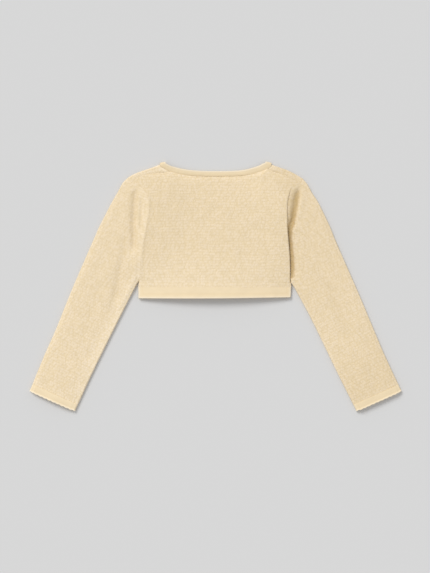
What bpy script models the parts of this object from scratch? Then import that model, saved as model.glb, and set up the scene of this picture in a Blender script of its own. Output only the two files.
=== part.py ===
"""A child's cropped knitted shrug, laid flat with its back uppermost.

The fronts lie on the surface at z = 0, the back panel arches over them, and
the two set-in sleeves are flattened tubes. +Y points to the neck, +X to the
wearer's right, and the origin is below the middle of the whole garment.
Sizes are in millimetres until a piece is placed; the model is in metres.
"""

import math
from collections import namedtuple
from functools import cache

import bmesh
import bpy
from mathutils import Vector

MM = 0.001  # metres in a millimetre
UP = Vector((0.0, 0.0, 1.0))

# Cloth
WALL = 2.2  # the looped knit
BAND_WALL = 2.6  # the smooth bands: neck, cuffs and hem
SEAM_GAP = 0.3  # between neighbouring pieces
CORNER_GAP = 0.5  # along the neckband, between the corners of the back and a front
FOLD_RADIUS = 3.0  # outer radius where the cloth folds back on itself
BAND_FOLD_RADIUS = 3.3  # the same on the thicker bands

# Bands
NECKBAND_WIDTH = 9.6
CUFF_DEPTH = 14.0
HEM_SEAM_Y = -0.5  # where the hem band is linked to the panels
HEM_CORNER_Y = -18.6  # bottom edge at the side seams
HEM_DIP = 1.7  # how much lower the bottom edge hangs in the middle

# Front opening
OPENING_HALF_GAP = 6.0  # half the gap between the two front edges
OPENING_TOP_Y = 217.0  # where the front edges start to curve in
OPENING_CURVE_END_Y = 95.0  # below this they run straight down

# Heights of the back's underside
HEM_SIDE_LIFT = 2.9  # at the side seams, on the front hem band
HEM_ARCH = 8.0  # rise of the hem from its sides to its middle
FOLD_LIFT = 2 * FOLD_RADIUS - WALL  # where the front wraps over the shoulder
SHOULDER_LIFT = 4.2  # along the shoulder seams
NECK_SAG_LIFT = 1.0  # middle of the back neck, which sinks to the surface
NECK_SAG_WIDTH = 2.5  # above 2, the sag spreads along the neck before it rises
ARCH_FULLNESS = 0.8  # below 1, an arch stays high nearer to its ends
LAYER_CLEARANCE = 0.4  # least rise of a sleeve's upper cloth over its folds

Pair = namedtuple("Pair", "left_x left_y right_x right_y")
Fold = namedtuple("Fold", "piece start_x start_y end_x end_y half_width rise")
Loft = namedtuple("Loft", "share left right")

# Centre line of the shoulder fold, from beside the neckband to the sleeve
SHOULDER_FOLD = (
    Pair(-114.5, 212.6, 114.1, 213.0),
    Pair(-130.4, 206.9, 128.8, 208.6),
    Pair(-144.6, 201.7, 143.9, 201.1),
    Pair(-155.6, 194.6, 156.3, 191.7),
)
SHOULDER_SEAM_DEPTH = {"left": 11.0, "right": 10.0}  # from the fold's edge, at the sleeve

# Shoulder seam, between its ends at the sleeve and at the neckband
SHOULDER_SEAM = (
    Pair(-137.0, 198.0, 139.0, 194.0),
    Pair(-119.0, 203.2, 125.0, 200.9),
    Pair(-99.4, 204.9, 109.0, 205.6),
)

# Armhole seam below the shoulder seam, down to the underarm
ARMHOLE = (
    Pair(-137.0, 180.6, 141.0, 180.2),
    Pair(-127.6, 170.0, 134.6, 169.0),
    Pair(-123.6, 150.0, 130.6, 150.0),
    Pair(-126.6, 120.0, 130.4, 120.0),
    Pair(-133.6, 86.0, 133.0, 84.0),
    Pair(-137.8, 52.0, 136.8, 45.0),
    Pair(-138.0, 10.8, 139.0, 5.4),
)
HEM_SIDE = Pair(-137.0, HEM_SEAM_Y, 138.2, HEM_SEAM_Y)
HEM_CORNER = Pair(-136.2, HEM_CORNER_Y, 137.4, HEM_CORNER_Y)

# Outer fold of each sleeve, from below the shoulder to the cuff
SLEEVE_OUTER = (
    Pair(-166.8, 187.6, 165.9, 184.0),
    Pair(-176.2, 170.6, 174.6, 168.2),
    Pair(-187.2, 151.2, 185.4, 151.2),
    Pair(-221.4, 79.2, 217.8, 79.2),
    Pair(-259.2, -7.2, 255.6, -7.2),
    Pair(-307.8, -122.4, 304.2, -122.4),
    Pair(-333.0, -184.5, 333.0, -186.3),
)

# Inner fold of each sleeve, from below the underarm to the cuff
SLEEVE_INNER = (
    Pair(-145.6, -1.5, 146.9, -8.0),
    Pair(-178.2, -64.8, 176.4, -64.8),
    Pair(-221.4, -151.2, 217.8, -151.2),
    Pair(-252.0, -225.0, 252.9, -225.0),
)

# Rise of a sleeve's middle over its folds; share is the way up from the cuff
SLEEVE_LOFT = (
    Loft(0.00, 5.4, 5.4),
    Loft(0.10, 5.0, 5.0),
    Loft(0.45, 4.8, 5.0),
    Loft(0.75, 5.4, 5.8),
    Loft(0.90, 5.8, 6.4),
    Loft(1.00, 5.2, 3.4),
)
BACK_EDGE_LOFT = {"left": 5.2, "right": 5.2}  # the back's rise along the armholes

# Back neck, from the left shoulder seam to the right one: the seam that joins
# the neckband to the back, and the band's free edge
NeckRow = namedtuple("NeckRow", "seam_x seam_y free_x free_y")
NECK = (
    NeckRow(-99.7, 217.2, -88.8, 219.8),
    NeckRow(-92.0, 212.6, -84.0, 220.8),
    NeckRow(-82.8, 207.6, -76.6, 216.6),
    NeckRow(-68.0, 203.3, -64.0, 213.5),
    NeckRow(-48.0, 200.3, -46.0, 210.8),
    NeckRow(-24.0, 199.1, -23.0, 209.4),
    NeckRow(0.0, 198.8, 0.0, 209.2),
    NeckRow(24.0, 199.1, 23.0, 209.4),
    NeckRow(48.0, 200.2, 46.0, 210.7),
    NeckRow(69.0, 203.5, 64.0, 213.6),
    NeckRow(86.0, 208.6, 78.4, 218.2),
    NeckRow(94.5, 212.9, 84.0, 222.0),
    NeckRow(100.3, 217.2, 89.0, 220.6),
)
NECK_CORNER = Pair(-82.8, 207.6, 94.5, 212.9)  # where the shoulder seams meet it
BAND_FOLD_LINE = Pair(-99.7, 220.2, 100.3, 220.4)  # seam-side end of its fold
BAND_FOLD_FREE = Pair(-90.1, 221.75, 90.7, 221.75)  # free-edge end of its fold

# Troughs (negative rise) and ridges in the upper cloth
FOLDS = (
    Fold("sleeve_left", -149.6, 170.0, -149.6, 76.0, 6.5, -3.2),
    Fold("sleeve_left", -138.0, 150.0, -139.0, 105.0, 5.0, -0.9),
    Fold("sleeve_left", -176.0, 58.0, -187.0, -78.0, 11.0, -1.4),
    Fold("sleeve_right", 150.0, 178.0, 143.0, 150.0, 5.0, -3.4),
    Fold("sleeve_right", 143.0, 150.0, 137.0, 112.0, 5.0, -3.6),
    Fold("sleeve_right", 152.0, 120.0, 148.0, 30.0, 8.0, 1.6),
    Fold("back", -106.0, 160.0, -117.0, 62.0, 10.0, -1.6),
)

# A fold fades out within this part of its piece's width, from each edge
BACK_FADE = 1 / 6
SLEEVE_FADE = 1 / 5
ARMHOLE_FADE = 5  # the higher, the sooner the armhole's curve dies away down the sleeve

# Mesh resolution
SHOULDER_COLUMNS = 5  # along each shoulder seam, on the back and on the front
NECK_COLUMNS = 14  # along the back neck
BACK_COLUMNS = NECK_COLUMNS + 2 * SHOULDER_COLUMNS
SIDE_ROWS = 1  # from the hem band up to the underarm
SLEEVE_TOP_COLUMNS = 13  # across a sleeve's upper cloth, and down the back's armhole
SLEEVE_BOTTOM_COLUMNS = 13  # across the cloth below, and down the front's armhole
BACK_ROWS = SIDE_ROWS + SLEEVE_TOP_COLUMNS
FRONT_ROWS = SIDE_ROWS + SLEEVE_BOTTOM_COLUMNS
WRAP_ROWS = 2  # from the shoulder fold to the shoulder seam
HEM_ROWS = 2
FOLD_STEPS = 4  # round each fold
SLEEVE_ROWS = 20
SLEEVE_ROW_CROWDING = 1.5  # above 1, rows crowd towards the armhole
CUFF_ROWS = 1
CURVE_STEPS = 12  # samples between two rows of a table
SHARE_STEP = 0.005  # of a curve's length, either way, to read its direction


# Curves


def vec(x, y, z=0.0):
    return Vector((x, y, z))


def rows_of(table, side):
    """One side's points out of a table of pairs."""
    if side == "left":
        return [vec(row.left_x, row.left_y) for row in table]
    return [vec(row.right_x, row.right_y) for row in table]


def point_of(pair, side):
    return rows_of((pair,), side)[0]


class Curve:
    """A smooth line through points, read by the share of its length."""

    def __init__(self, points):
        ends = [2 * points[0] - points[1], *points, 2 * points[-1] - points[-2]]
        self.line = []
        for a, b, c, d in zip(ends, ends[1:], ends[2:], ends[3:]):
            for step in range(CURVE_STEPS):
                t = step / CURVE_STEPS
                bend = (2 * a - 5 * b + 4 * c - d) * t**2 + (3 * b - a - 3 * c + d) * t**3
                self.line.append((2 * b + (c - a) * t + bend) / 2)
        self.line.append(points[-1].copy())
        self.marks = [0.0]
        for p, q in zip(self.line, self.line[1:]):
            self.marks.append(self.marks[-1] + (q - p).length)
        self.length = self.marks[-1]

    def __call__(self, share):
        wanted = min(max(share, 0.0), 1.0) * self.length
        k = 1
        while k < len(self.marks) - 1 and self.marks[k] < wanted:
            k += 1
        span = self.marks[k] - self.marks[k - 1]
        return self.line[k - 1].lerp(self.line[k], (wanted - self.marks[k - 1]) / span)

    def heading(self, share):
        """Unit direction of the line at a share of its length."""
        ahead = min(share + SHARE_STEP, 1.0)
        behind = max(share - SHARE_STEP, 0.0)
        return (self(ahead) - self(behind)).normalized()

    def share_near(self, point):
        """The share of the length at which the line passes closest to a point."""
        near = min(range(len(self.line)), key=lambda k: (self.line[k] - point).length)
        return self.marks[near] / self.length


def left_of(direction):
    """The horizontal direction 90 degrees to the left of another."""
    return vec(-direction.y, direction.x)


def patch(bottom, top, left, right, u, v):
    """The smooth surface between four edges: bottom and top run along u, left and right along v."""
    corners = bottom(0) * (1 - u) * (1 - v) + bottom(1) * u * (1 - v)
    corners += top(0) * (1 - u) * v + top(1) * u * v
    return bottom(u) * (1 - v) + top(u) * v + left(v) * (1 - u) + right(v) * u - corners


def chain(*stretches):
    """Joins curves end to end; each stretch is (share where it ends, curve)."""

    def at(share):
        start = 0.0
        for end, curve in stretches:
            if share <= end or end == stretches[-1][0]:
                return curve((share - start) / (end - start))
            start = end

    return at


def fade(share, part):
    """0 at both ends of a stretch, rising to 1 within a part of it from each end."""
    return min(1.0, share / part, (1 - share) / part)


def dome(share):
    """0 at both ends, 1 in the middle, and full across most of the way."""
    return max(0.0, math.sin(math.pi * share)) ** ARCH_FULLNESS


def read_loft(share, side):
    """Rise of a sleeve's middle at a share of the way up from the cuff."""
    for low, high in zip(SLEEVE_LOFT, SLEEVE_LOFT[1:]):
        if share <= high.share:
            t = max(0.0, (share - low.share) / (high.share - low.share))
            t = t * t * (3 - 2 * t)
            return getattr(low, side) * (1 - t) + getattr(high, side) * t
    return getattr(SLEEVE_LOFT[-1], side)


def folds_at(piece, point):
    """Summed rise of the piece's folds at a point seen from above."""
    rise = 0.0
    for fold in FOLDS:
        if fold.piece != piece:
            continue
        start = vec(fold.start_x, fold.start_y)
        run = vec(fold.end_x, fold.end_y) - start
        here = vec(point.x, point.y) - start
        t = min(max(here.dot(run) / run.length_squared, 0.0), 1.0)
        away = (here - run * t).length / fold.half_width
        rise += fold.rise * math.exp(-away * away)
    return rise


# Lines shared by neighbouring pieces

SIDES = ("left", "right")
OUTWARD_TURN = {"left": 1, "right": -1}  # which way the body's outside lies


@cache
def shoulder_fold(side):
    """Centre line of the fold, from beside the neckband to the sleeve."""
    neck_end = opening_edge(side, NECKBAND_WIDTH + SEAM_GAP, OPENING_TOP_Y)
    return Curve([neck_end, *rows_of(SHOULDER_FOLD, side)])


def fold_out(side, share):
    """Unit direction out of the garment, across the shoulder fold."""
    return -left_of(shoulder_fold(side).heading(share)) * OUTWARD_TURN[side]


def shoulder_tip(side):
    """Where the shoulder fold's edge meets the sleeve."""
    return shoulder_fold(side)(1) + fold_out(side, 1) * FOLD_RADIUS


def seam_corner(side):
    """Where the shoulder seam meets the armhole."""
    return shoulder_tip(side) - fold_out(side, 1) * SHOULDER_SEAM_DEPTH[side]


@cache
def armhole(side):
    """From the shoulder fold over the seam corner down to the underarm."""
    return Curve([shoulder_tip(side), seam_corner(side), *rows_of(ARMHOLE, side)])


@cache
def sleeve_folds(side):
    """The outer and inner fold of a sleeve, each from the cuff up."""
    outer = [shoulder_tip(side), *rows_of(SLEEVE_OUTER, side)]
    inner = [armhole(side)(1), *rows_of(SLEEVE_INNER, side)]
    return Curve(outer[::-1]), Curve(inner[::-1])


@cache
def neck_seam():
    return Curve([vec(row.seam_x, row.seam_y) for row in NECK])


@cache
def neck_free_edge():
    return Curve([vec(row.free_x, row.free_y) for row in NECK])


def neck_share(side):
    """Share of the neck seam at which the shoulder seam meets it."""
    return neck_seam().share_near(point_of(NECK_CORNER, side))


def neck_stations():
    """Shares of the neck seam at which the neckband and the back have their points."""
    left, right = neck_share("left"), neck_share("right")
    middle = [left + (right - left) * k / NECK_COLUMNS for k in range(NECK_COLUMNS + 1)]
    return [0.0, left / 2, *middle, (1 + right) / 2, 1.0]


def neck_lift(share):
    """Underside of the back neck: highest at the shoulders, low in the middle."""
    rise = SHOULDER_LIFT - NECK_SAG_LIFT
    return NECK_SAG_LIFT + rise * abs(2 * share - 1) ** NECK_SAG_WIDTH


def below_neck_seam(share):
    """The panels' side of the neck seam."""
    seam = neck_seam()
    return seam(share) - left_of(seam.heading(share)) * SEAM_GAP


@cache
def shoulder_seam(side):
    """The back's edge along a shoulder seam, from the sleeve to the neckband."""
    neck_end = below_neck_seam(neck_share(side))
    return Curve([seam_corner(side), *rows_of(SHOULDER_SEAM, side), neck_end])


def opening_edge(side, inset, y):
    """A point of a front's free edge, moved in from it by a distance."""
    outer = -1 if side == "left" else 1
    reach = abs(point_of(BAND_FOLD_FREE, side).x) - OPENING_HALF_GAP
    height = OPENING_TOP_Y - OPENING_CURVE_END_Y
    t = max(0.0, (y - OPENING_CURVE_END_Y) / height)
    x = OPENING_HALF_GAP + reach * (0.5 - 0.5 * math.cos(math.pi * t))
    run = vec(0.5 * math.pi * reach * math.sin(math.pi * t), height).normalized()
    return vec(outer * (x + run.y * inset), y - run.x * inset)


def opening_height(share):
    """Height of an opening row, from the hem seam up to the shoulder fold."""
    return HEM_SEAM_Y + (OPENING_TOP_Y - HEM_SEAM_Y) * share


def armhole_stations(side, columns):
    """Shares of the armhole from the shoulder fold to the underarm, one for each column."""
    margin = armhole_margin(side)
    return [margin + (1 - 2 * margin) * k / columns for k in range(columns + 1)]


def armhole_margin(side):
    """Share of the armhole that each fold takes up."""
    line = armhole(side)
    return FOLD_RADIUS / (line(1) - line(0)).length


def armhole_reader(side, columns, top_share):
    """Reads the armhole from the underarm up, at the same places as a sleeve's columns."""
    line = armhole(side)
    shares = [1.0, *armhole_stations(side, columns)[-2:0:-1], top_share]

    def at(t):
        k = min(int(t * columns + 1e-6), columns - 1)
        part = t * columns - k
        share = shares[k] * (1 - part) + shares[k + 1] * part
        return line(share), share

    return at


def hem_bottom(share):
    """The back's bottom edge, from left to right."""
    start, end = point_of(HEM_CORNER, "left"), point_of(HEM_CORNER, "right")
    edge = start.lerp(end, share)
    return edge - vec(0, HEM_DIP * math.sin(math.pi * share))


# Building


def cloth(name, columns, rows, place, colour, closed=False):
    """Makes one solid of cloth.

    A flat sheet of columns by rows is extruded into a block one unit each
    way, and place(u, v, w) gives where each of its points goes: u across, v
    along and w from the cloth's inside to its right side. A closed piece is
    a tube: its two sides across are left open and welded to each other.
    """
    bm = bmesh.new()
    bmesh.ops.create_grid(bm, x_segments=columns, y_segments=rows, size=0.5)
    bmesh.ops.translate(bm, verts=bm.verts, vec=(0.5, 0.5, 0))
    made = bmesh.ops.extrude_face_region(bm, geom=bm.faces[:], use_keep_orig=True)
    lifted = [v for v in made["geom"] if isinstance(v, bmesh.types.BMVert)]
    bmesh.ops.translate(bm, verts=lifted, vec=UP)
    if closed:
        sides = []
        for end in (0, 1):
            sides += [f for f in bm.faces if all(abs(v.co.x - end) < 1e-6 for v in f.verts)]
        bmesh.ops.delete(bm, geom=sides, context="FACES")
    for vert in bm.verts:
        vert.co = place(*vert.co) * MM
    bmesh.ops.remove_doubles(bm, verts=bm.verts, dist=1e-6)
    bmesh.ops.recalc_face_normals(bm, faces=bm.faces)
    mesh = bpy.data.meshes.new(name)
    bm.to_mesh(mesh)
    bm.free()
    mesh.shade_smooth()
    mesh.set_sharp_from_angle(angle=math.radians(50))
    mesh.materials.append(finish(*colour))
    piece = bpy.data.objects.new(name, mesh)
    bpy.context.collection.objects.link(piece)
    return piece


def finish(name, red, green, blue, roughness):
    """A plain yarn finish; colours are linear."""
    material = bpy.data.materials.get(name)
    if material is None:
        material = bpy.data.materials.new(name)
        material.use_nodes = True
        shader = material.node_tree.nodes["Principled BSDF"]
        shader.inputs["Base Color"].default_value = (red, green, blue, 1)
        shader.inputs["Roughness"].default_value = roughness
        shader.inputs["Metallic"].default_value = 0
    return material


LOOPED_KNIT = ("looped knit", 0.82, 0.68, 0.46, 0.95)
BAND_KNIT = ("band knit", 0.85, 0.72, 0.51, 0.9)


def back():
    """The back panel: a shallow dome over the fronts, lowest at the sides and the neck."""
    seam_left, seam_right = neck_share("left"), neck_share("right")
    underarm_row = SIDE_ROWS / BACK_ROWS

    def bottom(u):
        edge = point_of(HEM_SIDE, "left").lerp(point_of(HEM_SIDE, "right"), u)
        return edge + UP * (HEM_SIDE_LIFT + HEM_ARCH * dome(u))

    def shoulder(side):
        line = shoulder_seam(side)
        return lambda share: line(share) + UP * SHOULDER_LIFT

    def neck(share):
        along = seam_left + (seam_right - seam_left) * share
        return below_neck_seam(along) + UP * neck_lift(along)

    left_shoulder, right_shoulder = shoulder("left"), shoulder("right")
    top = chain(
        (SHOULDER_COLUMNS / BACK_COLUMNS, left_shoulder),
        (1 - SHOULDER_COLUMNS / BACK_COLUMNS, neck),
        (1, lambda share: right_shoulder(1 - share)),
    )

    def edge(side):
        line = armhole(side)
        corner = SHOULDER_SEAM_DEPTH[side] / line.length
        hem = point_of(HEM_SIDE, side) + UP * HEM_SIDE_LIFT
        underarm = line(1) + UP * FOLD_LIFT
        reader = armhole_reader(side, SLEEVE_TOP_COLUMNS, corner)

        def up_armhole(share):
            point, s = reader(share)
            lift = FOLD_LIFT + (SHOULDER_LIFT - FOLD_LIFT) * share
            return point + UP * (lift + BACK_EDGE_LOFT[side] * dome(s))

        return chain((underarm_row, lambda share: hem.lerp(underarm, share)), (1, up_armhole))

    left, right = edge("left"), edge("right")

    def place(u, v, w):
        point = patch(bottom, top, left, right, u, v)
        inside = min(fade(u, BACK_FADE), fade(v, BACK_FADE))
        lift = max(point.z + folds_at("back", point) * inside, NECK_SAG_LIFT)
        return vec(point.x, point.y, lift + WALL * w)

    return cloth("back", BACK_COLUMNS, BACK_ROWS, place, LOOPED_KNIT)


def front(side):
    """A front panel: flat on the surface, then up over the shoulder fold to the shoulder seam."""
    fold_axis, line = shoulder_fold(side), armhole(side)
    inset = NECKBAND_WIDTH + SEAM_GAP
    neck_end = 0 if side == "left" else 1
    back_corner = neck_share(side)
    clear = CORNER_GAP / neck_seam().length
    seam_share = back_corner + (clear if neck_end > back_corner else -clear)

    def opening(v):
        return opening_edge(side, inset, opening_height(v))

    def hem(u):
        return opening(0).lerp(point_of(HEM_SIDE, side), u)

    reader = armhole_reader(side, SLEEVE_BOTTOM_COLUMNS, FOLD_RADIUS / line.length)
    outer = chain(
        (SIDE_ROWS / FRONT_ROWS, lambda share: point_of(HEM_SIDE, side).lerp(line(1), share)),
        (1, lambda share: reader(share)[0]),
    )

    def neck_edge(share):
        along = neck_end + (seam_share - neck_end) * share
        point = below_neck_seam(along)
        return point + (fold_axis(0) - below_neck_seam(neck_end)) * (1 - share)

    back_seam = shoulder_seam(side)

    def seam(u):
        point = back_seam(1 - u) + fold_out(side, u) * SEAM_GAP
        miss = below_neck_seam(seam_share) - back_seam(1) - fold_out(side, 0) * SEAM_GAP
        return point + miss * max(0.0, 1 - u * SHOULDER_COLUMNS)

    def wrap_end(share):
        return fold_axis(1).lerp(seam(1), share)

    total = FRONT_ROWS + FOLD_STEPS + WRAP_ROWS

    def place(u, v, w):
        row = v * total
        depth = WALL * (1 - w)
        if row <= FRONT_ROWS + 0.01:
            point = patch(hem, fold_axis, opening, outer, u, row / FRONT_ROWS)
            return point + UP * depth
        if row <= FRONT_ROWS + FOLD_STEPS + 0.01:
            turn = math.pi * (row - FRONT_ROWS) / FOLD_STEPS
            reach = FOLD_RADIUS - depth
            point = fold_axis(u) + fold_out(side, u) * reach * math.sin(turn)
            return point + UP * (FOLD_RADIUS - reach * math.cos(turn))
        share = (row - FRONT_ROWS - FOLD_STEPS) / WRAP_ROWS
        point = patch(fold_axis, seam, neck_edge, wrap_end, u, share)
        lift = FOLD_LIFT + (SHOULDER_LIFT - FOLD_LIFT) * share
        return point + UP * (lift + WALL * w)

    return cloth("front_" + side, SHOULDER_COLUMNS, total, place, LOOPED_KNIT)


def ring_stations(side):
    """How a flattened tube's section runs: (share across, turn out of the fold, height).

    The share goes from the outer fold (0) to the inner fold (1). The turn is
    how far out of the flat part a fold swings, and the height is -1 on the
    surface below and 1 on the upper cloth.
    """
    stations = []
    for k in range(SLEEVE_BOTTOM_COLUMNS):
        stations.append((1 - k / SLEEVE_BOTTOM_COLUMNS, 0.0, -1.0))
    for k in range(FOLD_STEPS):
        turn = math.pi * k / FOLD_STEPS
        stations.append((0.0, -math.sin(turn), -math.cos(turn)))
    margin = armhole_margin(side)
    corner = SHOULDER_SEAM_DEPTH[side] / armhole(side).length
    shares = [k / SLEEVE_TOP_COLUMNS for k in range(SLEEVE_TOP_COLUMNS)]
    shares.insert(1, (corner - margin) / (1 - 2 * margin))
    stations += [(share, 0.0, 1.0) for share in shares]
    for k in range(FOLD_STEPS + 1):
        turn = math.pi * k / FOLD_STEPS
        stations.append((1.0, math.sin(turn), math.cos(turn)))
    return stations


def tube_place(side, low, high, crowding, wall, radius):
    """place() for a stretch of sleeve between two shares of the way up from the cuff."""
    outer, inner = sleeve_folds(side)
    line = armhole(side)
    stations = ring_stations(side)
    piece = "sleeve_" + side

    def across(share, up):
        """The section's line in plan: straight at the cuff, the armhole seam's curve at the top."""
        further = up + (outer.length - inner.length) / outer.length * (up * up - up)
        straight = outer(further).lerp(inner(up), share)
        bent = line(share) - line(0).lerp(line(1), share)
        clear = left_of(line.heading(share)) * OUTWARD_TURN[side] * -SEAM_GAP
        return straight + (bent + clear) * up**ARMHOLE_FADE

    def place(u, v, w):
        share, swing, height = stations[round(u * (len(stations) - 1))]
        up = low + (high - low) * (1 - (1 - v) ** crowding)
        width = (across(1, up) - across(0, up)).length
        margin = radius / width
        reach = radius - wall * (1 - w)
        q = margin + (1 - 2 * margin) * share
        heading = (across(q + SHARE_STEP, up) - across(q - SHARE_STEP, up)).normalized()
        point = across(q, up) + heading * swing * reach
        lift = radius + height * reach
        if height == 1.0 and 0 < share < 1:
            bulge = read_loft(up, side) * dome(share)
            dips = folds_at(piece, point) * fade(share, SLEEVE_FADE)
            lift += max(bulge + dips, LAYER_CLEARANCE)
        return point + UP * lift

    return place


def cuff_share(side):
    """Share of the way up at which the cuff band is linked to the sleeve."""
    return CUFF_DEPTH / sleeve_folds(side)[1].length


def sleeve(side):
    """A set-in sleeve, flattened, with its folds in the upper cloth."""
    seam = cuff_share(side)
    place = tube_place(side, seam, 1, SLEEVE_ROW_CROWDING, WALL, FOLD_RADIUS)
    columns = len(ring_stations(side)) - 1
    return cloth("sleeve_" + side, columns, SLEEVE_ROWS, place, LOOPED_KNIT, closed=True)


def cuff(side):
    """The smooth band at the end of a sleeve."""
    seam = cuff_share(side) - SEAM_GAP / sleeve_folds(side)[1].length
    place = tube_place(side, 0, seam, 1, BAND_WALL, BAND_FOLD_RADIUS)
    columns = len(ring_stations(side)) - 1
    return cloth("cuff_" + side, columns, CUFF_ROWS, place, BAND_KNIT, closed=True)


def hem_back():
    """The band along the back's bottom edge, arched with it."""

    def place(u, v, w):
        top = point_of(HEM_SIDE, "left").lerp(point_of(HEM_SIDE, "right"), u) - vec(0, SEAM_GAP)
        point = hem_bottom(u).lerp(top, v)
        return point + UP * (HEM_SIDE_LIFT + HEM_ARCH * dome(u) + BAND_WALL * w)

    return cloth("hem_back", BACK_COLUMNS, HEM_ROWS, place, BAND_KNIT)


def hem_front(side):
    """The band along a front's bottom edge, flat on the surface."""
    inset = NECKBAND_WIDTH + SEAM_GAP

    def place(u, v, w):
        top = opening_edge(side, inset, HEM_SEAM_Y).lerp(point_of(HEM_SIDE, side), u)
        bottom = opening_edge(side, inset, HEM_CORNER_Y).lerp(point_of(HEM_CORNER, side), u)
        return bottom.lerp(top - vec(0, SEAM_GAP), v) + UP * BAND_WALL * (1 - w)

    return cloth("hem_front_" + side, SHOULDER_COLUMNS, 1, place, BAND_KNIT)


def band_front_sections(side):
    """Sections of the neckband up one front: flat on the surface, then over the fold."""
    fold = point_of(BAND_FOLD_FREE, side), point_of(BAND_FOLD_LINE, side)
    heights = [HEM_CORNER_Y] + [opening_height(k / FRONT_ROWS) for k in range(FRONT_ROWS + 1)]
    sections = []
    for y in heights:
        free, seam = opening_edge(side, 0, y), opening_edge(side, NECKBAND_WIDTH, y)
        sections.append((free, seam, UP * BAND_WALL, vec(0, 0)))
    out = left_of(fold[0] - fold[1]).normalized()
    if out.y < 0:
        out = -out
    for step in range(FOLD_STEPS + 1):
        turn = math.pi * step / FOLD_STEPS
        swing = out * math.sin(turn) - UP * math.cos(turn)
        middle = UP * BAND_FOLD_RADIUS
        near = middle + swing * (BAND_FOLD_RADIUS - BAND_WALL)
        far = middle + swing * BAND_FOLD_RADIUS
        sections.append((fold[0], fold[1], near, far))
    return sections


def neckband():
    """One strip: up the left front, over the fold, along the back neck and down the right front."""
    seam, free = neck_seam(), neck_free_edge()
    sections = band_front_sections("left")
    for share in neck_stations():
        lift = neck_lift(share)
        near, far = UP * lift, UP * (lift + BAND_WALL)
        sections.append((free(share), seam(share), near, far))
    sections += band_front_sections("right")[::-1]

    def place(u, v, w):
        a, b, near, far = sections[round(v * (len(sections) - 1))]
        return a.lerp(b, u) + near.lerp(far, w)

    return cloth("neckband", 2, len(sections) - 1, place, BAND_KNIT)


def main():
    for old in list(bpy.data.objects):
        bpy.data.objects.remove(old)
    back()
    hem_back()
    neckband()
    for side in SIDES:
        front(side)
        hem_front(side)
        sleeve(side)
        cuff(side)


main()
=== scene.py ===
# %% [markdown]
# # A child's knitted shrug, laid flat
#
# A shrug is a short open jacket. This one is knitted from a looped, nubby
# cream yarn: one back, two fronts and two long sleeves, with smooth narrow
# bands round the neck, the hem and the cuffs. It lies on its fronts with the
# back uppermost, so a viewer sees the back, the upper half of each sleeve and
# the fronts only where they wrap over the shoulders.
#
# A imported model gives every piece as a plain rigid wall. This script dresses
# each one with cloth of the same form: rounded edges, creases and a knit
# surface. Sizes are in millimetres until a mesh is placed; Blender works in
# metres.

# %% Load the frame
import math
from collections import namedtuple
from functools import cache

import bmesh
import bpy
import numpy as np
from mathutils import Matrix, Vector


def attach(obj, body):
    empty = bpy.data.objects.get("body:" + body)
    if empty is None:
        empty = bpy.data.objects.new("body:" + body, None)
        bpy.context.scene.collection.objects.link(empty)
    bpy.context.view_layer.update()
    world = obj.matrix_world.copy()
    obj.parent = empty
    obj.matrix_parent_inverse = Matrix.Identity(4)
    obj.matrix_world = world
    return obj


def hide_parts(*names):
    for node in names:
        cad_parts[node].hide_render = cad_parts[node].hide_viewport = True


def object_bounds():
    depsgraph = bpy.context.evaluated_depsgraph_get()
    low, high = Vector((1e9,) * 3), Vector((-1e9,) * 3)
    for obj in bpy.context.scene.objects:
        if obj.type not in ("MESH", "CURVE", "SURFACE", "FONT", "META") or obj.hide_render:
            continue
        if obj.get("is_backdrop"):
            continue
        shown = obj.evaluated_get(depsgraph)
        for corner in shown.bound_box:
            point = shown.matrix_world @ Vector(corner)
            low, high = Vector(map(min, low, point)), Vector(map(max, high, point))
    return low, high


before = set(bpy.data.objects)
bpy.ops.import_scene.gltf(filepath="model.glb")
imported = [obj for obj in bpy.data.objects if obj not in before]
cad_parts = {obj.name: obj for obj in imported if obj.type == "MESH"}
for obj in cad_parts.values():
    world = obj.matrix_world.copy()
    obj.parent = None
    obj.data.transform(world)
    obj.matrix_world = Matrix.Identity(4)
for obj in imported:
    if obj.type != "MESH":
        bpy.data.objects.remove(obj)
cad_box = [list(corner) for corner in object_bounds()]
MM = 0.001
print("nodes:", sorted(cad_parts))

# %% [markdown]
# ## The garment's measures
#
# A knitter works from a handful of sizes and the outline of each piece. The
# tables hold those outlines as they lie, each row a pair of points for the
# left and right sides, because hand-laid cloth is never quite the same on both
# sides. +Y points to the neck, and z = 0 is the surface that the shrug lies on.

# %% Sizes of the cloth, the bands and the way it lies
WALL = 2.2  # the looped knit
BAND_WALL = 2.6  # the smooth bands
SEAM_GAP = 0.02  # between two pieces where they are linked
FOLD_RADIUS = 3.0  # of the looped knit where it is folded flat
BAND_FOLD_RADIUS = 3.3
NECKBAND_WIDTH = 9.6
CUFF_DEPTH = 14.0
HEM_SEAM_Y = -0.5
HEM_CORNER_Y = -18.6
HEM_DIP = 1.1  # how far the hem's middle lies below its corners

OPENING_HALF_GAP = 6.0
OPENING_TOP_Y = 217.0
OPENING_CURVE_END_Y = 95.0

# Heights of the cloth's underside, and how its arches swell between them
HEM_SIDE_LIFT = 2.9
HEM_ARCH = 9.5
FOLD_LIFT = 2 * FOLD_RADIUS - WALL
SHOULDER_LIFT = 4.2
NECK_SAG_LIFT = 1.0
NECK_SAG_POWER = 2.5
ARCH_FULLNESS = 0.8

# %% Outlines, as pairs of points
Pair = namedtuple("Pair", "left_x left_y right_x right_y")
Loft = namedtuple("Loft", "share left right")
NeckRow = namedtuple("NeckRow", "seam_x seam_y free_x free_y")

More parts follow.
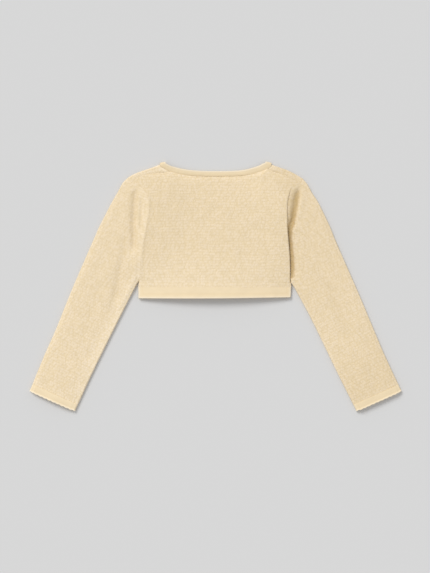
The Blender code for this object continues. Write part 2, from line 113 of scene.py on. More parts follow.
SHOULDER_FOLD = (
    Pair(-114.1, 211.5, 114.1, 212.2),
    Pair(-130.2, 206.2, 128.4, 207.2),
    Pair(-144.2, 200.9, 143.2, 199.8),
    Pair(-155.6, 194.6, 156.0, 191.9),
)
SHOULDER_SEAM_DEPTH = {"left": 11.0, "right": 10.0}
SHOULDER_SEAM = (
    Pair(-137.0, 198.0, 139.0, 194.0),
    Pair(-119.0, 203.2, 125.0, 200.9),
    Pair(-99.4, 204.9, 109.0, 205.6),
)
ARMHOLE = (
    Pair(-135.4, 180.6, 138.0, 179.4),
    Pair(-124.2, 168.0, 132.6, 169.0),
    Pair(-119.4, 150.0, 129.0, 150.0),
    Pair(-122.2, 120.0, 129.0, 120.0),
    Pair(-128.8, 86.0, 132.0, 84.0),
    Pair(-133.6, 52.0, 135.0, 45.0),
    Pair(-137.2, 10.8, 135.6, 7.0),
)
HEM_SIDE = Pair(-139.0, HEM_SEAM_Y, 136.0, HEM_SEAM_Y)
HEM_CORNER = Pair(-138.6, -20.5, 135.2, -18.7)
SLEEVE_OUTER = (
    Pair(-166.8, 187.6, 165.9, 184.0),
    Pair(-176.2, 170.6, 174.6, 168.2),
    Pair(-187.2, 151.2, 185.4, 151.2),
    Pair(-207.6, 111.6, 204.7, 111.6),
    Pair(-222.0, 79.2, 217.8, 79.2),
    Pair(-259.2, -7.2, 255.6, -7.2),
    Pair(-287.5, -77.4, 285.1, -77.4),
    Pair(-307.5, -122.4, 304.2, -122.4),
    Pair(-334.4, -187.8, 334.8, -187.8),
)
SLEEVE_INNER = (
    Pair(-144.8, -1.5, 145.3, -8.0),
    Pair(-176.9, -64.8, 175.6, -64.8),
    Pair(-219.5, -151.2, 217.4, -151.2),
    Pair(-252.9, -223.9, 253.8, -223.8),
)
SLEEVE_LOFT = (
    Loft(0.00, 7.2, 4.2),
    Loft(0.10, 5.2, 4.8),
    Loft(0.45, 4.8, 5.0),
    Loft(0.75, 5.4, 5.8),
    Loft(0.90, 5.8, 6.4),
    Loft(1.00, 5.2, 3.4),
)
BACK_EDGE_LOFT = 5.2  # rise of the back's edge along the armhole
EDGE_RIDGE = {"left": 0.0, "right": 2.4}  # it stands up where the sleeve is gathered
EDGE_RIDGE_PLACE = 0.36  # share of the armhole, from the shoulder
EDGE_RIDGE_WIDTH = 0.2
EDGE_RIDGE_START = 0.1  # share of the back's edge over which it begins
NECK = (
    NeckRow(-99.7, 217.2, -89.0, 222.4),
    NeckRow(-92.0, 212.6, -84.2, 219.4),
    NeckRow(-82.8, 207.6, -76.6, 216.6),
    NeckRow(-68.0, 203.3, -64.0, 213.5),
    NeckRow(-48.0, 200.3, -46.0, 210.4),
    NeckRow(-24.0, 199.1, -23.0, 208.8),
    NeckRow(0.0, 198.8, 0.0, 208.5),
    NeckRow(24.0, 199.1, 23.0, 208.6),
    NeckRow(48.0, 200.2, 46.0, 209.9),
    NeckRow(69.0, 203.5, 64.0, 213.6),
    NeckRow(86.0, 208.6, 78.4, 218.2),
    NeckRow(94.5, 212.9, 84.0, 221.0),
    NeckRow(100.3, 217.2, 88.8, 223.2),
)
NECK_CORNER = Pair(-82.8, 207.6, 94.5, 212.9)
BAND_FOLD_LINE = Pair(-99.7, 220.2, 100.3, 220.4)
BAND_FOLD_FREE = Pair(-90.1, 221.75, 90.7, 221.75)
SIDES = ("left", "right")
OUTWARD_TURN = {"left": 1, "right": -1}

# %% [markdown]
# ## Smooth lines from few points
#
# Each outline is drawn through its few points with a Catmull-Rom curve, the
# same kind that runs through every point it is given. Reading it by the share
# of its length lets two pieces that share a seam keep in step along it. NumPy
# reads thousands of places at once, which keeps the script quick.

# %% A smooth curve
CURVE_STEPS = 24
SHARE_STEP = 0.005


class Curve:
    """A smooth line through points, read by the share of its length."""

    def __init__(self, points):
        points = np.array(points, float)
        ends = [2 * points[0] - points[1], *points, 2 * points[-1] - points[-2]]
        t = np.linspace(0, 1, CURVE_STEPS, endpoint=False)[:, None]
        stretches = []
        for a, b, c, d in zip(ends, ends[1:], ends[2:], ends[3:]):
            bend = (2 * a - 5 * b + 4 * c - d) * t**2 + (3 * b - a - 3 * c + d) * t**3
            stretches.append((2 * b + (c - a) * t + bend) / 2)
        self.line = np.vstack([*stretches, points[-1:]])
        self.marks = marks_along(self.line)
        self.length = self.marks[-1]

    def __call__(self, share):
        return read_line(self.line, self.marks, np.clip(share, 0, 1) * self.length)

    def heading(self, share):
        """Unit direction of the line at a share of its length."""
        ahead, behind = np.minimum(share + SHARE_STEP, 1), np.maximum(share - SHARE_STEP, 0)
        return unit(self(ahead) - self(behind))

    def share_near(self, point):
        near = np.argmin(np.linalg.norm(self.line - point, axis=1))
        return self.marks[near] / self.length


# %% Points, heights and the surface between four edges


def marks_along(line):
    """How far along a line of many points each of them is."""
    return np.append(0, np.cumsum(np.linalg.norm(np.diff(line, axis=0), axis=1)))


def read_line(line, line_marks, wanted):
    """The points at wanted distances along a line."""
    return np.stack([np.interp(wanted, line_marks, axis) for axis in line.T], -1)


def unit(vectors):
    return vectors / np.linalg.norm(vectors, axis=-1, keepdims=True)


def left_of(directions):
    """Plan directions turned 90 degrees to the left."""
    return np.stack([-directions[..., 1], directions[..., 0]], -1)


def at(pair, side):
    """One side's point out of a pair."""
    return np.array([getattr(pair, side + "_x"), getattr(pair, side + "_y")])


def rows_of(table, side):
    return [at(row, side) for row in table]


def raised(plan, height):
    """Plan points with a height."""
    return np.column_stack([plan, np.broadcast_to(height, len(plan))])


def mix(a, b, share):
    """From point a to point b by a share; each of the three may be one or many."""
    share = np.asarray(share)[..., None]
    return a * (1 - share) + b * share


def across_garment(pair, share):
    """The straight line from a pair's left point to its right one."""
    return mix(at(pair, "left"), at(pair, "right"), share)


def between(a, b, share):
    """The same for plain numbers, such as heights."""
    return a * (1 - share) + b * share


def patch(bottom, top, left, right, u, v):
    """The smooth surface between four edges; bottom and top run along u, the sides along v."""
    zero, one = np.zeros(1), np.ones(1)
    low = mix(bottom(zero), bottom(one), u)
    high = mix(top(zero), top(one), u)
    along = mix(bottom(u), top(u), v)
    across = mix(left(v), right(v), u)
    return along + across - mix(low, high, v)


def chain(share, *stretches):
    """Reads curves laid end to end; each stretch is (share where it ends, curve)."""
    start, made = 0.0, None
    for end, curve in stretches:
        part = curve(np.clip((share - start) / (end - start), 0, 1))
        made = part if made is None else np.where((share > start)[:, None], part, made)
        start = end
    return made


def arch(share, fullness=ARCH_FULLNESS):
    """0 at both ends, 1 in the middle; a lower power is fuller across most of the way."""
    return np.maximum(0, np.sin(np.pi * share)) ** fullness


def fade(share, part):
    """0 at both ends of a stretch, 1 from a part of it in from each end."""
    return np.clip(np.minimum(share, 1 - share) / part, 0, 1)


def smooth(t):
    """From 0 to 1 with a soft start and a soft end."""
    t = np.clip(t, 0, 1)
    return t * t * (3 - 2 * t)


def bump(distance, width):
    """1 at a line, falling softly to 0 at about two widths from it."""
    return np.exp(-((distance / width) ** 2))


# %% [markdown]
# ## Seam lines
#
# Every seam is one line that two pieces share, so it is worked out once. The
# armhole runs from the shoulder fold down to the underarm; the neck seam runs
# from one shoulder to the other; a front's free edge drops from the neck in a
# soft curve and then straight down.

# %% The shared seam lines


@cache
def shoulder_fold(side):
    neck_end = panel_edge(side, np.array([OPENING_TOP_Y]))[0]
    return Curve([neck_end, *rows_of(SHOULDER_FOLD, side)])


def fold_out(side, share):
    """Unit direction out of the garment, across the shoulder fold."""
    return -left_of(shoulder_fold(side).heading(share)) * OUTWARD_TURN[side]


def shoulder_tip(side):
    return shoulder_fold(side)(1.0) + fold_out(side, 1.0) * FOLD_RADIUS


def seam_corner(side):
    return shoulder_tip(side) - fold_out(side, 1.0) * SHOULDER_SEAM_DEPTH[side]


@cache
def armhole(side):
    return Curve([shoulder_tip(side), seam_corner(side), *rows_of(ARMHOLE, side)])


@cache
def sleeve_folds(side):
    outer = [shoulder_tip(side), *rows_of(SLEEVE_OUTER, side)]
    inner = [armhole(side)(1.0), *rows_of(SLEEVE_INNER, side)]
    return Curve(outer[::-1]), Curve(inner[::-1])


@cache
def neck_seam():
    return Curve([(row.seam_x, row.seam_y) for row in NECK])


@cache
def neck_free_edge():
    return Curve([(row.free_x, row.free_y) for row in NECK])


def neck_share(side):
    return neck_seam().share_near(at(NECK_CORNER, side))


def neck_lift(share):
    rise = SHOULDER_LIFT - NECK_SAG_LIFT
    return NECK_SAG_LIFT + rise * np.abs(2 * share - 1) ** NECK_SAG_POWER


def below_neck_seam(share):
    seam = neck_seam()
    return seam(share) - left_of(seam.heading(share)) * SEAM_GAP


@cache
def shoulder_seam(side):
    neck_end = below_neck_seam(neck_share(side))
    return Curve([seam_corner(side), *rows_of(SHOULDER_SEAM, side), neck_end])


# %% Heights along the seams


def shoulder_lift(side, share):
    """Height along a shoulder seam, from the sleeve to the neckband, where the neck sags."""
    return SHOULDER_LIFT - (SHOULDER_LIFT - neck_lift(neck_share(side))) * share**2


def armhole_lift(side, share):
    """Height along the armhole: over the front's fold, then along the back's edge."""
    length = armhole(side).length
    fold, corner = FOLD_RADIUS / length, SHOULDER_SEAM_DEPTH[side] / length
    along = np.clip((share - corner) / (1 - corner), 0, 1)
    level = SHOULDER_LIFT + (FOLD_LIFT - SHOULDER_LIFT) * along + BACK_EDGE_LOFT * arch(along)
    ridge = bump(share - EDGE_RIDGE_PLACE, EDGE_RIDGE_WIDTH) * smooth(along / EDGE_RIDGE_START)
    level += EDGE_RIDGE[side] * ridge
    return between(FOLD_LIFT, level, np.clip((share - fold) / (corner - fold), 0, 1))


# %% The free edges of the fronts and the hem


def opening_edge(side, inset, y):
    """A front's free edge at heights y, moved in from it by a distance."""
    outer = -1 if side == "left" else 1
    reach = abs(at(BAND_FOLD_FREE, side)[0]) - OPENING_HALF_GAP
    height = OPENING_TOP_Y - OPENING_CURVE_END_Y
    t = np.maximum(0, (y - OPENING_CURVE_END_Y) / height)
    x = OPENING_HALF_GAP + reach * (0.5 - 0.5 * np.cos(np.pi * t))
    slope = 0.5 * np.pi * reach * np.sin(np.pi * t)
    run = unit(np.stack([slope, np.full_like(slope, height)], -1))
    return np.stack([outer * (x + run[..., 1] * inset), y - run[..., 0] * inset], -1)


def panel_edge(side, y):
    """The edge of a front's looped panel, beside the neckband."""
    return opening_edge(side, NECKBAND_WIDTH + SEAM_GAP, y)


def hem_bottom(share):
    dip = np.stack([0 * share, HEM_DIP * np.sin(np.pi * share)], -1)
    return across_garment(HEM_CORNER, share) - dip


for side in SIDES:
    print(side, "armhole", round(armhole(side).length), "mm, outer sleeve",
          round(sleeve_folds(side)[0].length), "mm")

# %% [markdown]
# ## The knit's relief
#
# Looped yarn makes a field of small rounded nubs in staggered rows. Each nub is
# a dome, a little out of place and a little taller or lower than its neighbour.
# They stand in the mesh itself, because a raking light and a close look both
# show them. Loops only sink in from the cloth's outer face, so the garment
# keeps its size and its underside stays flat on the surface. Soft random hills
# are added, because cloth that was smoothed by hand is never flat.

# %% Loops and hills
ROW_PITCH = 5.0  # from one row of nubs to the next
NUB_PITCH = 4.2  # along a row
NUB_HALF_WIDTH = 0.66  # shares of a pitch
NUB_HALF_HEIGHT = 0.62
NUB_DEPTH = 0.24  # from the top of a nub to the gaps between nubs
NUB_WOBBLE = (0.32, 0.17, 0.42)  # sideways, along, and in height
LATTICE = 128  # random values in a row, after which they repeat


def loops(across, along, seed):
    """Height from 0 to about 1 of staggered rows of nubs."""
    wobbles = np.random.default_rng(seed).uniform(-1, 1, (LATTICE, LATTICE, 3)) * NUB_WOBBLE
    height = np.zeros(len(across))
    rows, stitches = along / ROW_PITCH, across / NUB_PITCH
    for row in (np.floor(rows), np.floor(rows) + 1):
        stagger = 0.5 * (row % 2)
        first = np.floor(stitches - stagger)
        for stitch in (first, first + 1):
            wobble = wobbles[row.astype(int) % LATTICE, stitch.astype(int) % LATTICE]
            dx = (stitches - stagger - stitch - wobble[:, 0]) / NUB_HALF_WIDTH
            dy = (rows - row - wobble[:, 1]) / NUB_HALF_HEIGHT
            height = np.maximum(height, (1 - dx * dx - dy * dy) * (1 + wobble[:, 2]))
    return height


def hills(across, along, pitch, seed):
    """Smooth random rise and fall from -1 to 1, its hills about one pitch apart."""
    lattice = np.random.default_rng(seed).uniform(-1, 1, (LATTICE, LATTICE))
    x, y = across / pitch, along / pitch
    i, j = np.floor(x).astype(int), np.floor(y).astype(int)
    fx, fy = smooth(x - i), smooth(y - j)
    corner = lambda di, dj: lattice[(i + di) % LATTICE, (j + dj) % LATTICE]
    low = between(corner(0, 0), corner(1, 0), fx)
    high = between(corner(0, 1), corner(1, 1), fx)
    return between(low, high, fy)


# %% [markdown]
# ## Creases
#
# The sleeves were laid down by hand, so their cloth gathers beside the
# armholes. Each crease is a soft trough or ridge along a short line. The table
# gives, for each piece, its line, how wide it is on its left and right sides,
# how far it falls or rises, the share of its line over which it fades out at
# each end, and the power of its right side: 2 is round, and 1 falls ever more
# steeply to its line.

# %% Crease table and the shape of one crease
Crease = namedtuple("Crease", "line left_width right_width rise fade power", defaults=(2.0,))
LEFT_GATHER = (
    (-142.4, 181), (-144.9, 164), (-146.0, 146), (-147.4, 124), (-147.2, 90), (-146.6, 64),
)
RIGHT_VALLEY = (
    (150.4, 192), (149.2, 184), (147.8, 175), (146.6, 166), (145.4, 157), (144.2, 148),
    (142.8, 139.5), (141.0, 130.5), (139.2, 121.5), (137.2, 112.5), (134.0, 103.5), (132.4, 90),
)
RIGHT_TRENCH = (
    (137.4, 115), (134.2, 107), (132.2, 99), (132.6, 88), (133.6, 77), (134.6, 68), (135.6, 59),
    (136.2, 50), (136.6, 41), (137.0, 32), (137.2, 23), (137.3, 17),
)
CREASES = {
    "sleeve_left": (
        Crease(LEFT_GATHER, 5.6, 5.0, -3.2, 0.18),
        Crease(((-133.4, 166), (-133.4, 130), (-134.4, 96)), 2.2, 2.6, -1.3, 0.3),
        Crease(((-164, 98), (-165, 62), (-170, 40), (-179, -8), (-189, -46)), 9.0, 6.5, -1.4, 0.3),
        Crease(((-143, 62), (-143, 35), (-147, 8), (-158, -20), (-172, -48)), 6.0, 12.0, 1.4, 0.25),
        Crease(((-206, 10), (-224, -50), (-248, -120)), 10.0, 14.0, -0.6, 0.3),
        Crease(((-160, 168), (-163, 132), (-166, 96)), 7.0, 7.0, 0.5, 0.3),
    ),
    "sleeve_right": (
        Crease(RIGHT_VALLEY, 3.6, 3.8, -4.8, 0.34, 1.0),
        Crease(RIGHT_VALLEY, 4.4, 11.0, -3.8, 0.34, 1.4),
        Crease(RIGHT_TRENCH, 3.4, 3.6, -7.0, 0.06),
        Crease(((132, 100), (133, 80), (136, 50), (138, 24)), 7.0, 4.2, -2.6, 0.15),
        Crease(((156.5, 170), (153, 142), (149, 116)), 5.0, 5.0, 0.6, 0.3),
        Crease(((158, 128), (156, 90), (155, 40)), 8.0, 11.0, 0.6, 0.3),
        Crease(((137.8, 18), (139.4, 10)), 2.2, 2.2, 1.2, 0.3),
        Crease(((196, 20), (216, -40), (246, -110)), 12.0, 10.0, -0.7, 0.3),
    ),
    "back": (
        Crease(((-104, 164), (-110, 120), (-116, 62)), 10.0, 12.0, -1.0, 0.3),
        Crease(((112, 150), (116, 100), (120, 50)), 10.0, 8.0, 0.6, 0.3),
    ),
}
CREASE_SAMPLES = 32
CREASE_OVERRUN = 0.05  # share of its line that a crease runs on beyond each end


def creases_at(piece, plan):
    """Summed rise of a piece's creases at plan points."""
    rise = np.zeros(len(plan))
    for crease in CREASES[piece]:
        line = Curve(crease.line)
        shares = np.linspace(0, 1, CREASE_SAMPLES)
        dots = line(shares)
        near = np.argmin(((plan[:, None, :] - dots[None]) ** 2).sum(-1), axis=1)
        heading = line.heading(shares)[near]
        away = plan - dots[near]
        beside = (away * left_of(heading)).sum(-1)
        beyond = (away * heading).sum(-1)
        run = shares[near] + beyond / line.length
        width = np.where(beside > 0, crease.left_width, crease.right_width)
        power = np.where(beside > 0, 2, crease.power)
        ends = smooth(np.minimum(run + CREASE_OVERRUN, 1 + CREASE_OVERRUN - run) / crease.fade)
        rise += crease.rise * np.exp(-(np.abs(beside / width) ** power)) * ends
    return rise


# %% [markdown]
# ## Making a piece of cloth
#
# A flat grid stands for the knitted piece, one vertex every millimetre or so.
# Each vertex moves to its place on the form's right side. The grid is then
# extruded: the original becomes the inside of the cloth, and the copy becomes
# its right side, which takes the relief. The places on the flat piece are kept
# as a UV map in metres, so that the yarn pattern follows the cloth round its
# folds. Two attributes are kept for its colour: the height of each nub, and how
# many steps paler or darker its colour is painted. That second one is mostly
# painted light and shade, along folds, rims and creases and where the cloth
# faces towards or away from the light, and partly the yarn's own tone.

# %% Where the vertices of a grid stand
MESH_PITCH = 1.27
EDGE_MARKS = (0.0, 0.35, 0.9, 1.6, 2.4)  # closer rows of vertices along an edge


def marks(length, pitch=MESH_PITCH, edges=True):
    """Shares of a length at which vertices stand."""
    close = np.array(EDGE_MARKS if edges else (0.0,))
    steps = max(2, round((length - 2 * close[-1]) / pitch))
    middle = np.linspace(close[-1], length - close[-1], steps)
    return np.concatenate([close[:-1], middle, (length - close[:-1])[::-1]]) / length


# %% Profiles of a linked seam and of a free edge
SEAM_WIDTH = 1.4
BEAD_SHARE = 0.35  # the ridge of linking beside a seam, as a share of the seam's dip
BEAD_PLACE = 3.2
BEAD_WIDTH = 1.2
RIDGE_WIDTH = 4.4


def seam_profile(distance, dip):
    """Rise beside a linked seam: a dip and a bead, or a ridge where the dip is negative."""
    sunk = BEAD_SHARE * bump(distance - BEAD_PLACE, BEAD_WIDTH) - bump(distance, SEAM_WIDTH)
    return np.where(dip > 0, dip * sunk, -dip * bump(distance, RIDGE_WIDTH))


def nearest(*edges):
    """The least distance to several edges, and the dip of the edge it belongs to."""
    shape = edges[0][0].shape
    distances = np.array([np.broadcast_to(distance, shape) for distance, _ in edges])
    dips = np.array([np.broadcast_to(dip, shape) for _, dip in edges])
    which = np.argmin(distances, axis=0)[None]
    return [np.take_along_axis(table, which, axis=0)[0] for table in (distances, dips)]


def rim_profile(distance, wall):
    """How far each face of the cloth turns in, so that a free edge is round."""
    t = np.clip(1 - distance / (wall / 2), 0, 1)
    return wall / 2 * (1 - np.sqrt(1 - t * t))


# %% First step: lay the grid on its form
# Of each vertex: its place, its place on the flat piece, the distance and the dip of the nearest
# seam, the distance to a free edge, and how many steps paler or darker its colour is painted,
# as painted light and shade or as the yarn's own tone
Surface = namedtuple("Surface", "points pattern seam dip rim pale")


def lay(across, along, surface):
    """A flat grid with every vertex moved to its place on the right side of the cloth."""
    bm = bmesh.new()
    columns, rows = len(across) - 1, len(along) - 1
    bmesh.ops.create_grid(bm, x_segments=columns, y_segments=rows, size=0.5)
    flat = np.array([vert.co for vert in bm.verts]) + 0.5
    u = across[np.rint(flat[:, 0] * columns).astype(int)]
    v = along[np.rint(flat[:, 1] * rows).astype(int)]
    made = surface(u, v)
    place = bm.verts.layers.int.new("place")
    uv = bm.loops.layers.uv.new("cloth")
    bm.verts.index_update()
    for vert, point in zip(bm.verts, made.points * MM):
        vert[place] = vert.index
        vert.co = point
    pattern = made.pattern * MM
    for face in bm.faces:
        for loop in face.loops:
            loop[uv].uv = pattern[loop.vert.index]
    return bm, made


# %% Second step: give it thickness and relief
INSIDE_NUB = 0.5  # the even height that colours the inside
SEWN = 1e-6  # metres within which a tube's two edges are one


def thicken(bm, made, wall, relief):
    """Extrudes the cloth's right side from its inside and gives it its relief."""
    place = bm.verts.layers.int["place"]
    nub = bm.verts.layers.float.new("nub")
    pale = bm.verts.layers.float.new("pale")
    bm.normal_update()
    order = np.array([vert[place] for vert in bm.verts])
    rise, height = relief(made)
    rise = np.maximum(rise, rise * smooth(made.rim / wall))  # a rim has nothing to sink into
    turned = rim_profile(made.rim, wall)
    normals = np.zeros_like(made.points)
    normals[order] = [vert.normal for vert in bm.verts]
    right_side = made.points + normals * (rise - turned)[:, None]
    right_side[:, 2] = np.maximum(right_side[:, 2], 0)
    inside = made.points + normals * (turned - wall)[:, None]
    lifted = bmesh.ops.extrude_face_region(bm, geom=bm.faces[:], use_keep_orig=True)["geom"]
    lifted = {item for item in lifted if isinstance(item, bmesh.types.BMVert)}
    for vert in bm.verts:
        which = vert[place]
        vert.co = (right_side if vert in lifted else inside)[which] * MM
        vert[nub] = height[which] if vert in lifted else INSIDE_NUB
        vert[pale] = made.pale[which]


# %% A finished piece


def put(name, data):
    """An object for a mesh, a light or a camera, linked to the scene."""
    item = bpy.data.objects.new(name, data)
    bpy.context.collection.objects.link(item)
    return item


def mesh_from(bm, name):
    """A mesh out of a finished bmesh."""
    mesh = bpy.data.meshes.new(name)
    bm.to_mesh(mesh)
    bm.free()
    return mesh


def cloth(name, across, along, surface, wall, relief, facing=1, closed=False):
    """Makes one piece of cloth; facing is -1 where the grid's front is the inside."""
    bm, made = lay(across, along, surface)
    if facing < 0:
        bmesh.ops.reverse_faces(bm, faces=bm.faces[:])
    if closed:
        bmesh.ops.remove_doubles(bm, verts=bm.verts[:], dist=SEWN)
    thicken(bm, made, wall, relief)
    bmesh.ops.recalc_face_normals(bm, faces=bm.faces[:])
    mesh = mesh_from(bm, name)
    mesh.shade_smooth()
    piece = put(name, mesh)
    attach(piece, "root")
    print(name, 2 * len(mesh.polygons), "triangles")
    return piece


# %% Relief of the looped knit and of the smooth bands
LOOP_DRIFT = 2.0  # how far rows of loops wander
DRIFT_PITCH = 38
NUB_LIMIT = 1.2  # of the height of a nub
SEAM_RELIEF = 0.4  # share of the relief that is left at a seam
SEAM_RELIEF_REACH = 4
BAND_UNEVEN = 0.18
BAND_HILL_PITCH = 7.0
BAND_NUB = 0.6  # the even height that colours a smooth band
GROOVE_WIDTH = 1.5
# painted shade in a band's groove
GROOVE_SHADE = 0.15
RIM_PLACE = 1.3  # the folded edge is a soft bead, with a painted highlight along it
RIM_WIDTH = 1.1
RIM_BEAD_HIGHLIGHT = 0.3


def looped(seed):
    """Nubs that sink in between, calmer along the seams."""

    def relief(made):
        across, along = made.pattern.T
        drift = LOOP_DRIFT * hills(across, along, DRIFT_PITCH, seed + 1)
        nubs = np.clip(loops(across + drift, along + drift / 2, seed), 0, NUB_LIMIT)
        calm = SEAM_RELIEF + (1 - SEAM_RELIEF) * smooth(made.seam / SEAM_RELIEF_REACH)
        return NUB_DEPTH * (nubs - 1) * calm + seam_profile(made.seam, made.dip), nubs

    return relief


def banded(groove_place, groove_depth, bead_height, seed):
    """A smooth band with a bead along its free edge and a soft groove further in."""

    def relief(made):
        across, along = made.pattern.T
        uneven = BAND_UNEVEN * (hills(across, along, BAND_HILL_PITCH, seed) - 1)
        groove = bump(made.rim - groove_place, GROOVE_WIDTH)
        bead = bump(made.rim - RIM_PLACE, RIM_WIDTH)
        rise = uneven - groove_depth * groove + bead_height * bead
        # Its colour: painted shade in the groove and a painted highlight on the bead
        height = BAND_NUB - GROOVE_SHADE * groove + RIM_BEAD_HIGHLIGHT * bead
        return rise + seam_profile(made.seam, made.dip), height

    return relief


NOWHERE = 1e6  # a distance to an edge that a piece doesn't have

# %% [markdown]
# ## The back panel
#
# The back is a shallow dome: it rests on the fronts along its sides, rises
# towards the middle of the hem and sinks to the surface at the neck. It is the
# smooth patch between its four edges: hem, neck with both shoulder seams, and
# the two armholes. Its right edge stands up beside the gathered sleeve and rolls
# down into the fold there.

# %% Back: its four edges
UNDERARM_SHARE = 0.06  # of a side edge, from the hem band up to the underarm
SHOULDER_SHARE = 5 / 24  # of the top edge, for each shoulder seam
BACK_WIDTH = 275.0
BACK_HEIGHT = 208.0
BACK_SEED = 3


def hem_line(share):
    return raised(across_garment(HEM_SIDE, share), HEM_SIDE_LIFT + HEM_ARCH * arch(share))


def back_top(share):
    start, end = neck_share("left"), neck_share("right")

    def neck(t):
        along = start + (end - start) * t
        return raised(below_neck_seam(along), neck_lift(along))

    def shoulder(side):
        inward = (lambda t: t) if side == "left" else (lambda t: 1 - t)
        return lambda t: raised(shoulder_seam(side)(inward(t)), shoulder_lift(side, inward(t)))

    left, right = shoulder("left"), shoulder("right")
    return chain(share, (SHOULDER_SHARE, left), (1 - SHOULDER_SHARE, neck), (1, right))


def back_side(side):
    line = armhole(side)
    corner = SHOULDER_SEAM_DEPTH[side] / line.length
    hem = np.append(at(HEM_SIDE, side), HEM_SIDE_LIFT)
    underarm = np.append(line(1.0), FOLD_LIFT)

    def up_armhole(t):
        share = 1 - (1 - corner) * t
        return raised(line(share), armhole_lift(side, share))

    return lambda t: chain(t, (UNDERARM_SHARE, lambda s: mix(hem, underarm, s)), (1, up_armhole))


# %% Back: its relief and its painted light and shade
BACK_SAG = 5.0  # how far its middle sinks below the arch between its edges
BACK_SAG_FADE = 0.3  # share of its width over which it sinks
BACK_SAG_POWER = 1.2
BACK_HILLS = 0.5
BACK_HILL_PITCH = 47
BACK_HILL_SEED = 11
BACK_FADE = 1 / 7
ARMHOLE_DIP = {"left": -1.1, "right": 0.7}  # how far each seam turns in, or stands up
DIP_START = 0.12  # share of the armhole from which it shows, below the shoulder
DIP_END = 0.05  # share of the armhole over which it ends, at the underarm
SHOULDER_DIP = 0.2
NECK_DIP = 0.6
NECK_END_RIDGE = 0.4  # towards the shoulders the cloth stands up along the neckband
NECK_END = 0.14  # shares of the back's width, from its middle
NECK_END_REACH = 0.1
SHOULDER_LINE = 0.5  # near the neckband the shoulder seam shows
SHOULDER_LINE_END = 0.2
HEM_DIP_IN = 0.1
EDGE_ROLL = 5.2  # beside the gathered sleeve the back's edge turns down to the seam
EDGE_ROLL_WIDTH = 2.8
ROLL_START = 0.38  # shares of that edge, from the shoulder
ROLL_START_REACH = 0.12
ROLL_END = 0.97
ROLL_END_REACH = 0.06
HEM_PAINTED_LIGHT = 1.3  # painted light: how much paler the cloth is painted towards the hem, more on the left, where it faces the light
HEM_PAINTED_LIGHT_REACH = 0.4  # share of the way up
# painted highlight on the bead beside the neck seam
NECK_BEAD_HIGHLIGHT = 0.9
# painted highlight where the cloth stands up along the neckband towards the shoulders
NECK_END_HIGHLIGHT = 1.4
NECK_END_WIDTH = 2.4
BACK_PALE = -0.25
LEFT_PAINTED_SHADE = -0.3  # painted shade beside the left armhole
SHOULDER_PAINTED_SHADE = -1.6  # painted shade below the right shoulder, which turns from the light
SHOULDER_REACH = 34.0


# %% Back: the panel


def armhole_dip(side, share):
    """Dip of the armhole seam, which is lost in the cloth near the shoulder."""
    shows = smooth((share - DIP_START) / DIP_START) * smooth((1 - share) / DIP_END)
    return ARMHOLE_DIP[side] * shows


def edge_roll(distance, share):
    """How far the right edge turns down into the trench beside the sleeve."""
    deep = smooth((share - ROLL_START) / ROLL_START_REACH)
    deep *= smooth((ROLL_END - share) / ROLL_END_REACH)
    return EDGE_ROLL * deep * np.clip(1 - distance / EDGE_ROLL_WIDTH, 0, 1) ** 2


def back_surface(u, v):
    points = patch(hem_line, back_top, back_side("left"), back_side("right"), u, v)
    plan = points[:, :2]
    from_left, from_right = u * BACK_WIDTH, (1 - u) * BACK_WIDTH
    from_hem, from_top = v * BACK_HEIGHT, (1 - v) * BACK_HEIGHT
    inside = np.minimum(fade(u, BACK_FADE), fade(v, BACK_FADE))
    uneven = BACK_HILLS * hills(*plan.T, BACK_HILL_PITCH, BACK_HILL_SEED)
    sag = BACK_SAG * smooth(fade(u, BACK_SAG_FADE)) * np.sin(np.pi * v) ** BACK_SAG_POWER
    lift = points[:, 2] + (creases_at("back", plan) + uneven) * inside - sag
    lift -= edge_roll(from_right, 1 - v)
    points[:, 2] = np.maximum(lift, NECK_SAG_LIFT) + WALL
    along_shoulder = fade(u, SHOULDER_SHARE)
    top = np.where(along_shoulder < 1, from_top, BACK_HEIGHT)
    neck = np.where(along_shoulder < 1, BACK_HEIGHT, from_top)
    ends = smooth((np.abs(u - 0.5) - NECK_END) / NECK_END_REACH)
    near_neck = smooth(2 * along_shoulder - 1) * smooth((1 - along_shoulder) / SHOULDER_LINE_END)
    share = (1 - v) / (1 - UNDERARM_SHARE)
    linked = nearest(
        (from_left, armhole_dip("left", share)), (from_right, armhole_dip("right", share)),
        (from_hem, HEM_DIP_IN), (top, SHOULDER_DIP + SHOULDER_LINE * near_neck),
        (neck, between(NECK_DIP, -NECK_END_RIDGE, ends)),
    )
    # Painted light and shade: paler towards the hem and on the bead and ridges by the neck, darker
    # in the shoulder seam's dip, beside the left armhole and below the right shoulder
    pale = BACK_PALE + HEM_PAINTED_LIGHT * (1 - u / 2) * smooth(1 - v / HEM_PAINTED_LIGHT_REACH)
    pale += NECK_BEAD_HIGHLIGHT * bump(neck - BEAD_PLACE, BEAD_WIDTH)
    pale += ends * NECK_END_HIGHLIGHT * bump(neck, NECK_END_WIDTH)
    pale -= SHOULDER_LINE * near_neck * bump(top, BEAD_WIDTH)
    pale += LEFT_PAINTED_SHADE * bump(from_left - SHOULDER_REACH / 2, SHOULDER_REACH / 2)
    pale += SHOULDER_PAINTED_SHADE * bump(np.hypot(from_right, from_top), SHOULDER_REACH)
    return Surface(points, plan, *linked, np.full(len(u), NOWHERE), pale)


back = cloth(
    "knit_back", marks(BACK_WIDTH), marks(BACK_HEIGHT), back_surface, WALL, looped(BACK_SEED)
)
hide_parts("back")

# %% [markdown]
# ## The fronts
#
# A front lies flat on the surface with its right side down. At the shoulder it
# turns up over a soft fold and runs back to the shoulder seam, so its top strip
# shows beside the back. The flat part, the fold and the strip are three
# stretches of one grid.

# %% Front: the strip over the shoulder
CORNER_GAP = 0.2  # between the corners of the back and of a front, at the neckband
SEAM_EASE = 5  # the strip eases to that corner over one part in so many


